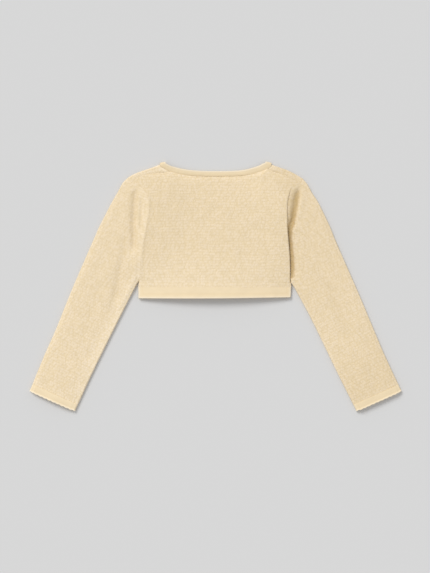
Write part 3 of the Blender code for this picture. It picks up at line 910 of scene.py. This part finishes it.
def shoulder_strip(side):
    """The edges of the strip: along the neckband, the shoulder seam and the sleeve."""
    axis = shoulder_fold(side)
    neck_end = 0.0 if side == "left" else 1.0
    corner = neck_share(side)
    clear = CORNER_GAP / neck_seam().length
    seam_share = corner + (clear if neck_end > corner else -clear)
    back_seam = shoulder_seam(side)
    miss = below_neck_seam(seam_share) - back_seam(1.0) - fold_out(side, 0.0) * SEAM_GAP
    fold_top = 2 * FOLD_RADIUS

    def fold_edge(t):
        return raised(axis(t), fold_top)

    def neck_edge(t):
        point = below_neck_seam(neck_end + (seam_share - neck_end) * t)
        point += (axis(0.0) - below_neck_seam(neck_end)) * (1 - t)[:, None]
        return raised(point, between(fold_top, shoulder_lift(side, 1.0) + WALL, t))

    def seam(t):
        ease = np.maximum(0, 1 - t * SEAM_EASE)[:, None]
        point = back_seam(1 - t) + fold_out(side, t) * SEAM_GAP + miss * ease
        return raised(point, shoulder_lift(side, 1 - t) + WALL)

    def wrap_end(t):
        line = armhole(side)
        point = line((FOLD_RADIUS + (SHOULDER_SEAM_DEPTH[side] - FOLD_RADIUS) * t) / line.length)
        return raised(point, between(fold_top, SHOULDER_LIFT + WALL, t))

    return fold_edge, seam, neck_edge, wrap_end


# %% Front: the whole panel
FRONT_FLAT = 217.0
FRONT_FOLD = math.pi * FOLD_RADIUS
FRONT_WRAP = 8.0
FRONT_LENGTH = FRONT_FLAT + FRONT_FOLD + FRONT_WRAP
FRONT_WIDTH = 122.0
FRONT_DIP = 0.2
STRIP_PAINTED_LIGHT = {"left": 0.8, "right": -1.1}  # painted light on the left folded strip over the shoulder, painted shade on the right one, which turns from the light
STRIP_END_HIGHLIGHT = 2.5  # painted highlight near the neckband
STRIP_END = 14.0


def front_surface(side):
    axis, line = shoulder_fold(side), armhole(side)
    strip = shoulder_strip(side)
    fold_start = FOLD_RADIUS / line.length
    height = OPENING_TOP_Y - HEM_SEAM_Y

    def opening(t):
        return panel_edge(side, HEM_SEAM_Y + height * t)

    def outer(t):
        up_side = lambda s: mix(at(HEM_SIDE, side), line(1.0), s)
        return chain(t, (UNDERARM_SHARE, up_side), (1, lambda s: line(1 - (1 - fold_start) * s)))

    def hem(t):
        return mix(opening(np.zeros(1)), at(HEM_SIDE, side), t)

    def surface(u, v):
        run = v * FRONT_LENGTH
        flat = np.clip(run / FRONT_FLAT, 0, 1)
        turn = np.pi * np.clip((run - FRONT_FLAT) / FRONT_FOLD, 0, 1)
        wrap = np.clip((run - FRONT_FLAT - FRONT_FOLD) / FRONT_WRAP, 0, 1)
        below = patch(hem, axis, opening, outer, u, flat)
        swing = fold_out(side, u) * (FOLD_RADIUS * np.sin(turn))[:, None]
        round_fold = raised(axis(u) + swing, FOLD_RADIUS * (1 - np.cos(turn)))
        points = np.where((turn > 0)[:, None], round_fold, raised(below, 0.0))
        points = np.where((wrap > 0)[:, None], patch(*strip, u, wrap), points)
        width = np.linalg.norm(outer(flat) - opening(flat), axis=1)
        sides = np.minimum(u, 1 - u) * width
        seam_dip = SHOULDER_DIP + SHOULDER_LINE * smooth(1 - 2 * u) * smooth(u / SHOULDER_LINE_END)
        linked = nearest((sides, FRONT_DIP), (run, HEM_DIP_IN), (FRONT_LENGTH - run, seam_dip))
        pattern = np.column_stack([points[:, 0], run])
        # painted light, shade and highlight on the folded strip over the shoulder
        pale = (STRIP_PAINTED_LIGHT[side] + STRIP_END_HIGHLIGHT * bump(u * FRONT_WIDTH, STRIP_END)) * (turn > 0)
        return Surface(points, pattern, *linked, np.full(len(u), NOWHERE), pale)

    return surface


# %% Front: one for each side
FRONT_SEED = {"left": 17, "right": 18}
fronts = {}
for side in SIDES:
    fronts[side] = cloth(
        "knit_front_" + side, marks(FRONT_WIDTH), marks(FRONT_LENGTH), front_surface(side),
        WALL, looped(FRONT_SEED[side]), facing=OUTWARD_TURN[side],
    )
    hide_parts("front_" + side)

# %% [markdown]
# ## The sleeves
#
# A sleeve is a tube that has been pressed flat: it lies on its lower cloth,
# folds at both edges, and its upper cloth arches over a little air. Going once
# round the tube crosses the lower cloth, the outer fold, the upper cloth and
# the inner fold. At the top its end follows the armhole.

# %% Sleeve: once round the flattened tube
TUBE_FLAT = 92.0  # width of one layer between its folds
TUBE_FOLD = math.pi * FOLD_RADIUS
TUBE_ROUND = 2 * (TUBE_FLAT + TUBE_FOLD)
Section = namedtuple("Section", "share swing height layer turned")


def tube_section(share_round):
    """Share across, swing out of a fold, height, layer and how many folds were turned."""
    arc = share_round * TUBE_ROUND
    outer_turn = np.clip((arc - TUBE_FLAT) / TUBE_FOLD, 0, 1)
    inner_turn = np.clip((arc - 2 * TUBE_FLAT - TUBE_FOLD) / TUBE_FOLD, 0, 1)
    layer = np.where(outer_turn < 1, -1, 1)
    lower = 1 - arc / TUBE_FLAT
    upper = (arc - TUBE_FLAT - TUBE_FOLD) / TUBE_FLAT
    share = np.clip(np.where(layer < 0, lower, upper), 0, 1)
    swing = np.sin(np.pi * inner_turn) - np.sin(np.pi * outer_turn)
    height = np.where(layer < 0, -np.cos(np.pi * outer_turn), np.cos(np.pi * inner_turn))
    return Section(share, swing, height, layer, outer_turn + inner_turn)


# %% Sleeve: how high its upper cloth stands
EDGE_LIFT = 0.045  # share of the width over which the arch leaves a fold
SETTLED = {"left": 0.36, "right": 0.6}  # how much of its loft it keeps after it was smoothed by hand
OUTER_FULLNESS = 0.35  # a lower power is fuller beside a fold
INNER_FULLNESS = {"left": 0.9, "right": 0.22}
SLEEVE_HILLS = 0.5
SLEEVE_HILL_PITCH = 41
SLEEVE_HILL_FADE = 0.2
HILL_SEED = {"left": 23, "right": 73}
SLEEVE_FADE = 0.06  # share of the width over which creases fade out at a fold
JOIN_START = 0.9  # share of the way up from which the sleeve levels with the back's edge
JOIN_STEP = {"left": 0.0, "right": 1.2}  # how far the sleeve's edge lies below the back's
JOIN_STEP_START = 0.12  # share of the armhole, from the shoulder
LAYER_GAP = 0.2  # air between its two layers where they touch
LEAST_RISE = 2 * WALL + LAYER_GAP - 2 * FOLD_RADIUS  # where the upper cloth lies on the lower


def loft_at(up, side):
    """Rise of a sleeve's middle over its folds."""
    shares = np.array([row.share for row in SLEEVE_LOFT])
    lofts = np.array([getattr(row, side) for row in SLEEVE_LOFT])
    step = np.clip(np.searchsorted(shares, up) - 1, 0, len(shares) - 2)
    part = smooth((up - shares[step]) / (shares[step + 1] - shares[step]))
    return between(lofts[step], lofts[step + 1], part)


def upper_rise(side, share, q, up, plan, fall):
    """Rise of the upper cloth, which arches and then meets the back along the armhole."""
    fullness = between(OUTER_FULLNESS, INNER_FULLNESS[side], share)
    rise = SETTLED[side] * loft_at(up, side) * arch(share, fullness) * smooth(fade(share, EDGE_LIFT))
    uneven = hills(*plan.T, SLEEVE_HILL_PITCH, HILL_SEED[side])
    rise += SLEEVE_HILLS * uneven * fade(share, SLEEVE_HILL_FADE)
    step = JOIN_STEP[side] * arch(share) * smooth((share - JOIN_STEP_START) / JOIN_STEP_START)
    level_with_back = armhole_lift(side, q) + WALL - 2 * FOLD_RADIUS - step
    rise = between(rise, level_with_back, smooth((up - JOIN_START) / (1 - JOIN_START)))
    rise += fall * fade(share, SLEEVE_FADE)
    return np.maximum(rise, LEAST_RISE)


# %% Sleeve: its edges, seam, and painted light and shade
BEND_POWER = 5  # how late, on the way up, its end takes the armhole's bend
UNDERARM_DIP = 0.2  # the seam along the sleeve shows beside its inner fold
# painted shade along the underarm seam's dip
UNDERARM_SHADE = 1.0
UNDERARM_END = 0.5  # share of the way up at which it is lost in the cloth
UNDERARM_PLACE = 4.6
UNDERARM_WIDTH = 1.2
CUFF_WAVE = 0.4  # the cast-off edge is a little frilled
CUFF_WAVE_PITCH = 8.4
CUFF_WAVE_REACH = 4.0
CUFF_CORNER = 0.7  # how far its corners are drawn in
CUFF_CORNER_SHARE = 0.035
OUTER_FOLD_HIGHLIGHT = {"left": 0.2, "right": 0.5}  # painted highlight along the outer fold
OUTER_REACH = 3.5
INNER_FOLD_HIGHLIGHT = {"left": 2.9, "right": 1.2}  # painted highlight along the inner fold, at the underarm; less towards the cuff
INNER_FOLD_HIGHLIGHT_LOW = 0.55
INNER_REACH = {"left": 17.0, "right": 3.5}
SIDE_SHARES = (0.04, 0.1, 0.5, 0.9)  # of the way up from the cuff
# painted light and shade on each sleeve at those shares, as its slopes face towards or away from the
# light
SIDE_PAINTED_LIGHT = {"left": (0.9, 0.4, 0.5, 0.2), "right": (-0.45, -1.3, 0.1, -0.5)}
SEAM_RIDGE_HIGHLIGHT = {"left": 0.8, "right": 0.0}  # painted highlight on the ridge along the armhole seam
CALM_END = 0.24  # share of the armhole down to which no crease reaches the seam
CALM_FADE = 0.12
CALM_REACH = 0.035  # share of the sleeve's length over which creases die out there
CREASE_SHADE = {"left": 0.5, "right": 1.15}  # painted shade: steps darker for each mm of a crease's depth
CREASE_FULL = -6.0  # below this it gets no darker


# %% Sleeve: the surface of a stretch of tube


def tube_surface(side, low, high, radius):
    """The right side of the tube between two shares of the way up from the cuff."""
    outer, inner = sleeve_folds(side)
    line = armhole(side)
    axis = unit(outer(1.0) + inner(1.0) - outer(0.0) - inner(0.0))
    inward = -left_of(axis) * OUTWARD_TURN[side]
    shortening = (outer.length - inner.length) / outer.length

    def across(share, up):
        straight = mix(outer(up + shortening * (up * up - up)), inner(up), share)
        bent = line(share) - mix(line(0.0), line(1.0), share)
        clear = left_of(line.heading(share)) * OUTWARD_TURN[side] * -SEAM_GAP
        return straight + (bent + clear) * (up**BEND_POWER)[:, None]

    def surface(u, v):
        section = tube_section(u)
        up = low + (high - low) * v
        zero, one = np.zeros_like(up), np.ones_like(up)
        width = np.linalg.norm(across(one, up) - across(zero, up), axis=1)
        margin = radius / width
        q = margin + (1 - 2 * margin) * section.share
        heading = unit(across(q + SHARE_STEP, up) - across(q - SHARE_STEP, up))
        base = across(q, up)
        plan = base + heading * (section.swing * radius)[:, None]
        calm = smooth((CALM_END - q) / CALM_FADE) * smooth((up - 1) / CALM_REACH + 1)
        fall = creases_at("sleeve_" + side, plan) * (1 - calm)
        rise = upper_rise(side, section.share, q, up, plan, fall)
        on_top = section.turned == 1
        lift = radius * (1 + section.height) + np.where(on_top, rise, 0)
        from_fold = section.layer * ((base - across(margin, up)) @ inward)
        pattern_across = from_fold + (section.turned - 0.5) * np.pi * radius
        along = (base - inner(0.0)) @ axis
        to_rim = (up - low) * inner.length
        wave = CUFF_WAVE * np.sin(2 * np.pi * pattern_across / CUFF_WAVE_PITCH)
        corner = CUFF_CORNER * bump(section.share * (1 - section.share), CUFF_CORNER_SHARE)
        shift = (wave + corner) * bump(to_rim, CUFF_WAVE_REACH) * (low == 0)
        plan = plan + axis * shift[:, None]
        pattern = np.column_stack([pattern_across, along])
        to_top = (high - up) * inner.length
        from_outer, from_inner = section.share * width, (1 - section.share) * width
        seam_shows = on_top * smooth((UNDERARM_END - up) / UNDERARM_END)
        seam_shows *= bump(from_inner - UNDERARM_PLACE, UNDERARM_WIDTH)
        lift -= UNDERARM_DIP * seam_shows
        # Painted light and shade: by side and height, darker along the underarm seam and in creases,
        # with painted highlights along both folds and the armhole ridge
        pale = np.interp(up, SIDE_SHARES, SIDE_PAINTED_LIGHT[side]) - UNDERARM_SHADE * seam_shows
        pale += OUTER_FOLD_HIGHLIGHT[side] * bump(from_outer, OUTER_REACH)
        pale += SEAM_RIDGE_HIGHLIGHT[side] * on_top * bump(to_top, RIDGE_WIDTH) * arch(q)
        inner_highlight = INNER_FOLD_HIGHLIGHT[side] * between(INNER_FOLD_HIGHLIGHT_LOW, 1, up)
        pale += inner_highlight * bump(from_inner, INNER_REACH[side])
        pale += on_top * CREASE_SHADE[side] * np.clip(fall, CREASE_FULL, 0)
        return Surface(raised(plan, lift), pattern, to_top, armhole_dip(side, q), to_rim, pale)

    return surface


def cuff_share(side):
    return CUFF_DEPTH / sleeve_folds(side)[1].length


# %% Sleeve: one for each side
SLEEVE_LENGTH = 410.0
SLEEVE_ROUND_PITCH = 0.96
SLEEVE_ROW_PITCH = 1.83
SLEEVE_CROWDING = 0.45  # rows stand closer towards the armhole, where the cloth spreads
SLEEVE_CROWD_POWER = 8
SLEEVE_SEED = {"left": 31, "right": 32}
CUFF_DIP = 0.15
ROUND_MARKS = marks(TUBE_ROUND, SLEEVE_ROUND_PITCH, edges=False)


def sleeve_rows():
    rows = marks(SLEEVE_LENGTH, SLEEVE_ROW_PITCH)
    return rows + SLEEVE_CROWDING * rows**SLEEVE_CROWD_POWER * (1 - rows)


def between_seams(surface):
    """The same surface with a linked seam at both ends."""

    def linked(u, v):
        made = surface(u, v)
        distance, dip = nearest((made.seam, made.dip), (made.rim, CUFF_DIP))
        return made._replace(seam=distance, dip=dip, rim=made.rim + NOWHERE)

    return linked


sleeves = {}
for side in SIDES:
    form = between_seams(tube_surface(side, cuff_share(side), 1.0, FOLD_RADIUS))
    sleeves[side] = cloth(
        "knit_sleeve_" + side, ROUND_MARKS, sleeve_rows(), form,
        WALL, looped(SLEEVE_SEED[side]), facing=OUTWARD_TURN[side], closed=True,
    )
    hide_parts("sleeve_" + side)

# %% [markdown]
# ## The cuffs
#
# Each cuff is the last stretch of the same tube, knitted plain and tighter, so
# it is smoother and a little thicker. Its cast-off edge is slightly frilled.

# %% Cuffs
CUFF_GROOVE = 0.2
CUFF_BEAD = 0.8
CUFF_GROOVE_PLACE = 3.0
CUFF_SEED = {"left": 41, "right": 42}
# the cuffs' own tone, set against the sleeve's painted light and shade that runs on into them
CUFF_TONE_AND_LIGHT = {"left": -0.2, "right": 0.65}
# painted highlight along the cast-off rim
CUFF_RIM_HIGHLIGHT = {"left": 2.2, "right": 1.0}
CUFF_RIM_PLACE = 2.2
CUFF_RIM_WIDTH = 1.5


def cuff_form(side, surface):
    """The same surface in the cuff's own tone and painted light, with a painted highlight along its
    rim and a soft seam.
    """

    def bordered(u, v):
        made = surface(u, v)
        rim_highlight = CUFF_RIM_HIGHLIGHT[side] * bump(made.rim - CUFF_RIM_PLACE, CUFF_RIM_WIDTH)
        pale = made.pale + CUFF_TONE_AND_LIGHT[side] + rim_highlight
        return made._replace(dip=np.full(len(u), CUFF_DIP), pale=pale)

    return bordered


cuffs = {}
for side in SIDES:
    top = cuff_share(side) - SEAM_GAP / sleeve_folds(side)[1].length
    form = cuff_form(side, tube_surface(side, 0.0, top, BAND_FOLD_RADIUS))
    cuffs[side] = cloth(
        "knit_cuff_" + side, ROUND_MARKS, marks(CUFF_DEPTH), form,
        BAND_WALL, banded(CUFF_GROOVE_PLACE, CUFF_GROOVE, CUFF_BEAD, CUFF_SEED[side]),
        facing=OUTWARD_TURN[side], closed=True,
    )
    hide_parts("cuff_" + side)

# %% [markdown]
# ## The hem
#
# One band runs along the bottom of the back and one along each front. The back
# band arches over the front ones, which lie on the surface. A soft groove runs
# along it where its inner layer was caught down.

# %% Hem bands
HEM_DEPTH = 19.0
HEM_GROOVE = 0.1
HEM_GROOVE_PLACE = 7.6
HEM_BEAD = 0.15
HEM_CURL = 0.7  # how far its free edge curls up
# the band's own paler tone, painted paler still towards the left, where it faces the light
HEM_BAND_TONE_AND_LIGHT = 1.1
# painted highlight along the free edge, more towards the left
HEM_RIM_HIGHLIGHT = 0.8
HEM_FRONT_WIDTH = 121.0
HEM_SEED = 51


def hem_back_surface(u, v):
    plan = mix(hem_bottom(u), across_garment(HEM_SIDE, u) - (0, SEAM_GAP), v)
    lift = HEM_SIDE_LIFT + HEM_ARCH * arch(u) + BAND_WALL + HEM_CURL * (1 - v) ** 2
    sides = np.minimum(u, 1 - u) * BACK_WIDTH
    rim = np.minimum(v * HEM_DEPTH, sides)
    # Painted light: the band's tone and a highlight along its rim, both paler towards the left
    pale = HEM_BAND_TONE_AND_LIGHT * (1 - u / 2) + HEM_RIM_HIGHLIGHT * bump(rim, RIM_WIDTH) * (1 - u)
    linked = nearest(((1 - v) * HEM_DEPTH, HEM_DIP_IN))
    return Surface(raised(plan, lift), plan, *linked, rim, pale)


def hem_front_surface(side):
    corner, seam_end = panel_edge(side, np.array([HEM_CORNER_Y, HEM_SEAM_Y]))

    def surface(u, v):
        top = mix(seam_end, at(HEM_SIDE, side), u) - (0, SEAM_GAP)
        plan = mix(mix(corner, at(HEM_CORNER, side), u), top, v)
        rim = np.minimum(v * HEM_DEPTH, (1 - u) * HEM_FRONT_WIDTH)
        linked = nearest(((1 - v) * HEM_DEPTH, HEM_DIP_IN), (u * HEM_FRONT_WIDTH, HEM_DIP_IN))
        return Surface(raised(plan, 0.0), plan, *linked, rim, np.zeros(len(u)))

    return surface


hem_knit = banded(HEM_GROOVE_PLACE, HEM_GROOVE, HEM_BEAD, HEM_SEED)
hem_rows = marks(HEM_DEPTH)
hem_back = cloth(
    "knit_hem_back", marks(BACK_WIDTH), hem_rows, hem_back_surface, BAND_WALL, hem_knit
)
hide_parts("hem_back")
hem_fronts = {}
for side in SIDES:
    hem_fronts[side] = cloth(
        "knit_hem_front_" + side, marks(HEM_FRONT_WIDTH), hem_rows, hem_front_surface(side),
        BAND_WALL, hem_knit, facing=OUTWARD_TURN[side],
    )
    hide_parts("hem_front_" + side)

# %% [markdown]
# ## The neckband
#
# One narrow strip finishes the whole front edge: up the left front, over the
# shoulder fold, along the back neck and down the right front. Its two long
# edges are worked out station by station, and the strip spans between them.

# %% Neckband: its two edges
BAND_FRONT_STATIONS = 150
BAND_FOLD_STATIONS = 16
BAND_NECK_STATIONS = 200


def band_up_front(side):
    """Free and seam edges up one front and over its fold."""
    y = np.linspace(HEM_CORNER_Y, OPENING_TOP_Y, BAND_FRONT_STATIONS)
    turn = np.linspace(0, np.pi, BAND_FOLD_STATIONS)
    free_end, seam_end = at(BAND_FOLD_FREE, side), at(BAND_FOLD_LINE, side)
    out = unit(left_of(free_end - seam_end))
    out = out * np.sign(out[1])
    neck_end = neck_free_edge()(0.0 if side == "left" else 1.0)
    edges = []
    for inset, end, top in ((0.0, free_end, neck_end), (NECKBAND_WIDTH, seam_end, seam_end)):
        flat = raised(opening_edge(side, inset, y), 0.0)
        swing = mix(end, top, turn / np.pi) + out * (BAND_FOLD_RADIUS * np.sin(turn))[:, None]
        edges.append(np.vstack([flat, raised(swing, BAND_FOLD_RADIUS * (1 - np.cos(turn)))]))
    return edges


def band_edges():
    share = np.linspace(0, 1, BAND_NECK_STATIONS)
    lift = neck_lift(share) + BAND_WALL
    neck = raised(neck_free_edge()(share), lift), raised(neck_seam()(share), lift)
    left, right = band_up_front("left"), band_up_front("right")
    return [np.vstack([left[k], neck[k], right[k][::-1]]) for k in (0, 1)]


# %% Neckband: the strip
BAND_DIP = 0.25
BAND_DIP_END = 0.07  # share of its length, from its middle, at which the seam stops dipping
BAND_DIP_REACH = 0.04
BAND_CROWN = 0.2  # along the back neck it is a soft roll
BAND_GROOVE_PLACE = 8.9  # from its free edge
BAND_GROOVE = 0.2
BAND_BEAD = 0.0  # its free edge is even, without the bead of the other bands
# painted highlight along its free edge
BAND_RIM_HIGHLIGHT = 0.2


def neckband_surface(u, v):
    free, seam = band_edges()
    middle_marks = marks_along((free + seam) / 2)
    length = middle_marks[-1]
    run = v * length
    points = mix(read_line(free, middle_marks, run), read_line(seam, middle_marks, run), u)
    crown = BAND_CROWN * (1 - (2 * u - 1) ** 2)
    points[:, 2] += crown * smooth((points[:, 2] - BAND_WALL) / BAND_WALL)
    from_free, from_seam = u * NECKBAND_WIDTH, (1 - u) * NECKBAND_WIDTH
    rim = np.minimum(from_free, np.minimum(run, length - run))
    pattern = np.column_stack([run, from_free])
    dip = BAND_DIP * (1 - smooth((np.abs(v - 0.5) - BAND_DIP_END) / BAND_DIP_REACH))
    linked = nearest((from_seam, dip))
    return Surface(points, pattern, *linked, rim, BAND_RIM_HIGHLIGHT * bump(rim, RIM_WIDTH))


NECKBAND_LENGTH = 735.0
PITCH_ACROSS = 0.9
PITCH_ALONG = 1.1
BAND_SEED = 61
neckband = cloth(
    "knit_neckband", marks(NECKBAND_WIDTH, PITCH_ACROSS), marks(NECKBAND_LENGTH, PITCH_ALONG),
    neckband_surface, BAND_WALL, banded(BAND_GROOVE_PLACE, BAND_GROOVE, BAND_BEAD, BAND_SEED),
)
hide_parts("neckband")

# %% [markdown]
# ## The yarn
#
# The yarn is a soft cotton blend, spun with loops. Its surface scatters light
# almost evenly and has a faint sheen from the fine ends that stand up from it.
# Loops that stand up are cream, with a painted highlight on their tips, and the
# gaps between them get a painted shade of warm honey, because light bounces from
# yarn to yarn before it comes out.

# %% Helpers for materials
LINEAR_KNEE = 0.04045


def linear(hex_colour):
    """A colour written as sRGB hex, as Blender's linear RGBA."""
    parts = [int(hex_colour[k : k + 2], 16) / 255 for k in (1, 3, 5)]
    return (*[c / 12.92 if c <= LINEAR_KNEE else ((c + 0.055) / 1.055) ** 2.4 for c in parts], 1.0)


def feed(node, inputs):
    """Sets a node's inputs, each of them to a value or another node's output."""
    for name, value in inputs.items():
        if isinstance(value, bpy.types.NodeSocket):
            node.id_data.links.new(value, node.inputs[name])
        else:
            node.inputs[name].default_value = value


def add(tree, kind, inputs=None, **settings):
    """Adds a node with its settings and inputs."""
    node = tree.nodes.new("ShaderNode" + kind)
    for name, value in settings.items():
        setattr(node, name, value)
    feed(node, inputs or {})
    return node


def new_material(name):
    """A material and its Principled shader."""
    material = bpy.data.materials.new(name)
    material.use_nodes = True
    return material, material.node_tree.nodes["Principled BSDF"]


def per_metre(size_mm):
    """A texture's scale, so that its features are about so many millimetres."""
    return 1 / (size_mm * MM)


# %% Stitches and shades of cotton
WAVE_PERIOD = math.pi / 10  # of Blender's wave texture at a scale of 1
PAINTED_LIGHT_AND_TONE_STEP = (0.041, 0.05, 0.071)  # gain of red, green and blue for each step of painted light or tone; darker steps also turn warmer, as painted shade
UNCHANGED = (1.0, 1.0, 1.0)
NUB_STOPS = (0.15, 0.62, 1.0)  # heights of the gap, loop and tip colours: painted shade in the gaps, a painted highlight on the tips
MOTTLE_RANGE = {"From Min": 0.3, "From Max": 0.7, "To Min": 0.975, "To Max": 1.02}
# Cotton is matt, and its fine yarn ends catch a little light where it turns away
COTTON = {"Roughness": 0.95, "Specular IOR Level": 0.2, "Sheen Weight": 0.25, "Sheen Roughness": 0.5}


def yarn_loops(tree, uv, size_mm):
    """Small round loops side by side."""
    return add(tree, "TexVoronoi", {"Vector": uv, "Scale": per_metre(size_mm)}).outputs["Distance"]


def plain_stitches(tree, uv, size_mm):
    """Columns of small stitches."""
    scale = per_metre(size_mm) * WAVE_PERIOD
    columns = {"Vector": uv, "Scale": scale, "Distortion": 1.5, "Detail": 1.0}
    return add(tree, "TexWave", columns, bands_direction="X").outputs["Fac"]


# %% Cotton boucle knit and plain band knit


def knit_material(
    name, colours, stitches, stitch_mm, stitch_depth_mm, fuzz_mm, fuzz_depth_mm, mottle_mm
):
    """Colour by the height of the nubs, mottled; the stitches and fine yarn ends are bump."""
    material, shader = new_material(name)
    tree = material.node_tree
    uv = add(tree, "UVMap", uv_map="cloth").outputs["UV"]
    nub = add(tree, "Attribute", attribute_name="nub").outputs["Fac"]
    pale = add(tree, "Attribute", attribute_name="pale").outputs["Fac"]
    ramp = add(tree, "ValToRGB", {"Fac": nub})
    stops = ramp.color_ramp.elements
    stops.new(NUB_STOPS[1])
    for stop, place, colour in zip(stops, NUB_STOPS, colours):
        stop.position, stop.color = place, linear(colour)
    noise = {"Vector": uv, "Scale": per_metre(mottle_mm), "Detail": 3.0}
    mottle = add(tree, "TexNoise", noise).outputs["Fac"]
    shade = add(tree, "MapRange", {"Value": mottle, **MOTTLE_RANGE}).outputs["Result"]
    mottled = add(
        tree, "VectorMath", {0: ramp.outputs["Color"], "Scale": shade}, operation="SCALE"
    ).outputs["Vector"]
    # Painted light and shade, and the yarn's own tone, scale the colour by the vertex attribute
    gain = add(
        tree, "VectorMath", {0: pale, 1: PAINTED_LIGHT_AND_TONE_STEP, 2: UNCHANGED}, operation="MULTIPLY_ADD"
    ).outputs["Vector"]
    tinted = add(tree, "VectorMath", {0: mottled, 1: gain}, operation="MULTIPLY")
    noise = {"Vector": uv, "Scale": per_metre(fuzz_mm), "Detail": 2.0, "Roughness": 0.6}
    fuzz = add(tree, "TexNoise", noise).outputs["Fac"]
    depth = {0: stitches(tree, uv, stitch_mm), 1: -stitch_depth_mm / fuzz_depth_mm, 2: fuzz}
    height = add(tree, "Math", depth, operation="MULTIPLY_ADD").outputs["Value"]
    raised_yarn = add(tree, "Bump", {"Height": height, "Distance": fuzz_depth_mm * MM})
    surface = {"Base Color": tinted.outputs["Vector"], "Normal": raised_yarn.outputs["Normal"]}
    feed(shader, {**surface, **COTTON})
    return material


# Gap, loop and tip colours: the gap colour is painted shade, the tip colour a painted highlight
boucle_knit = knit_material(
    "cotton boucle knit", ("#e7d2ac", "#ecd8b6", "#efdcbe"),
    yarn_loops, 2.0, 0.35, 1.4, 0.25, 17.0
)
plain_knit = knit_material(
    "plain cotton band knit", ("#e6cda2", "#edd9b5", "#f3e6cf"),
    plain_stitches, 1.6, 0.09, 1.2, 0.15, 23.0
)
for piece in (back, *fronts.values(), *sleeves.values()):
    piece.data.materials.append(boucle_knit)
for piece in (*cuffs.values(), hem_back, *hem_fronts.values(), neckband):
    piece.data.materials.append(plain_knit)
print("materials:", boucle_knit.name, "and", plain_knit.name)

# %% [markdown]

# %% [markdown]
# ## Floor, light and camera
#
# The shrug lies on a plain, very light grey sheet. One large soft light stands up
# and to the left, as a window would, and an even grey sky fills the shadows. The
# camera looks straight down.

# %% Floor
FLOOR_SIZE = 12.0  # metres
FLOOR_DROP = 0.0002


def floor_material():
    material, shader = new_material("matt grey paper")
    paper = {"Base Color": linear("#d7d7d7"), "Roughness": 1.0, "Specular IOR Level": 0.0}
    feed(shader, paper)
    return material


bm = bmesh.new()
bmesh.ops.create_grid(bm, x_segments=1, y_segments=1, size=FLOOR_SIZE / 2)
bmesh.ops.translate(bm, verts=bm.verts[:], vec=(0, 0, -FLOOR_DROP))
floor_mesh = mesh_from(bm, "floor")
floor_mesh.materials.append(floor_material())
floor = put("floor", floor_mesh)
floor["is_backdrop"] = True
print("floor", FLOOR_SIZE, "m wide")

# %% Light
KEY_AZIMUTH = math.radians(34)  # to the left of the neck's direction
KEY_ELEVATION = math.radians(43)
KEY_SOFTNESS = math.radians(26)  # how wide the light looks from the floor
KEY_STRENGTH = 1.75
SKY_STRENGTH = 0.625

key_data = bpy.data.lights.new("window light", "SUN")
key_data.angle = KEY_SOFTNESS
key_data.energy = KEY_STRENGTH
key = put("window light", key_data)
key.rotation_euler = (math.pi / 2 - KEY_ELEVATION, 0, KEY_AZIMUTH + math.pi)
sky = bpy.data.worlds.new("sky")
sky.use_nodes = True
feed(sky.node_tree.nodes["Background"], {"Color": (1, 1, 1, 1), "Strength": SKY_STRENGTH})
bpy.context.scene.world = sky
bpy.context.scene.view_settings.view_transform = "Standard"
print("window light", KEY_STRENGTH, "and sky", SKY_STRENGTH)

# %% Camera
CAMERA_HEIGHT = 2.4  # metres
FRAME_HEIGHT = 1031.4 * MM  # length of floor that the view spans
CAMERA_PLACE = (-0.9 * MM, 0.9 * MM)
SENSOR = 36.0

camera_data = bpy.data.cameras.new("camera")
camera_data.sensor_width = SENSOR
camera_data.lens = SENSOR * CAMERA_HEIGHT / FRAME_HEIGHT
camera = put("camera", camera_data)
camera.location = (*CAMERA_PLACE, CAMERA_HEIGHT)
bpy.context.scene.camera = camera
print("lens", round(camera_data.lens, 1), "mm")

# %% Bounds of the solids and of the dressed pieces
dressed_box = [list(corner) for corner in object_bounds()]
print("solids", cad_box)
print("dressed", dressed_box)
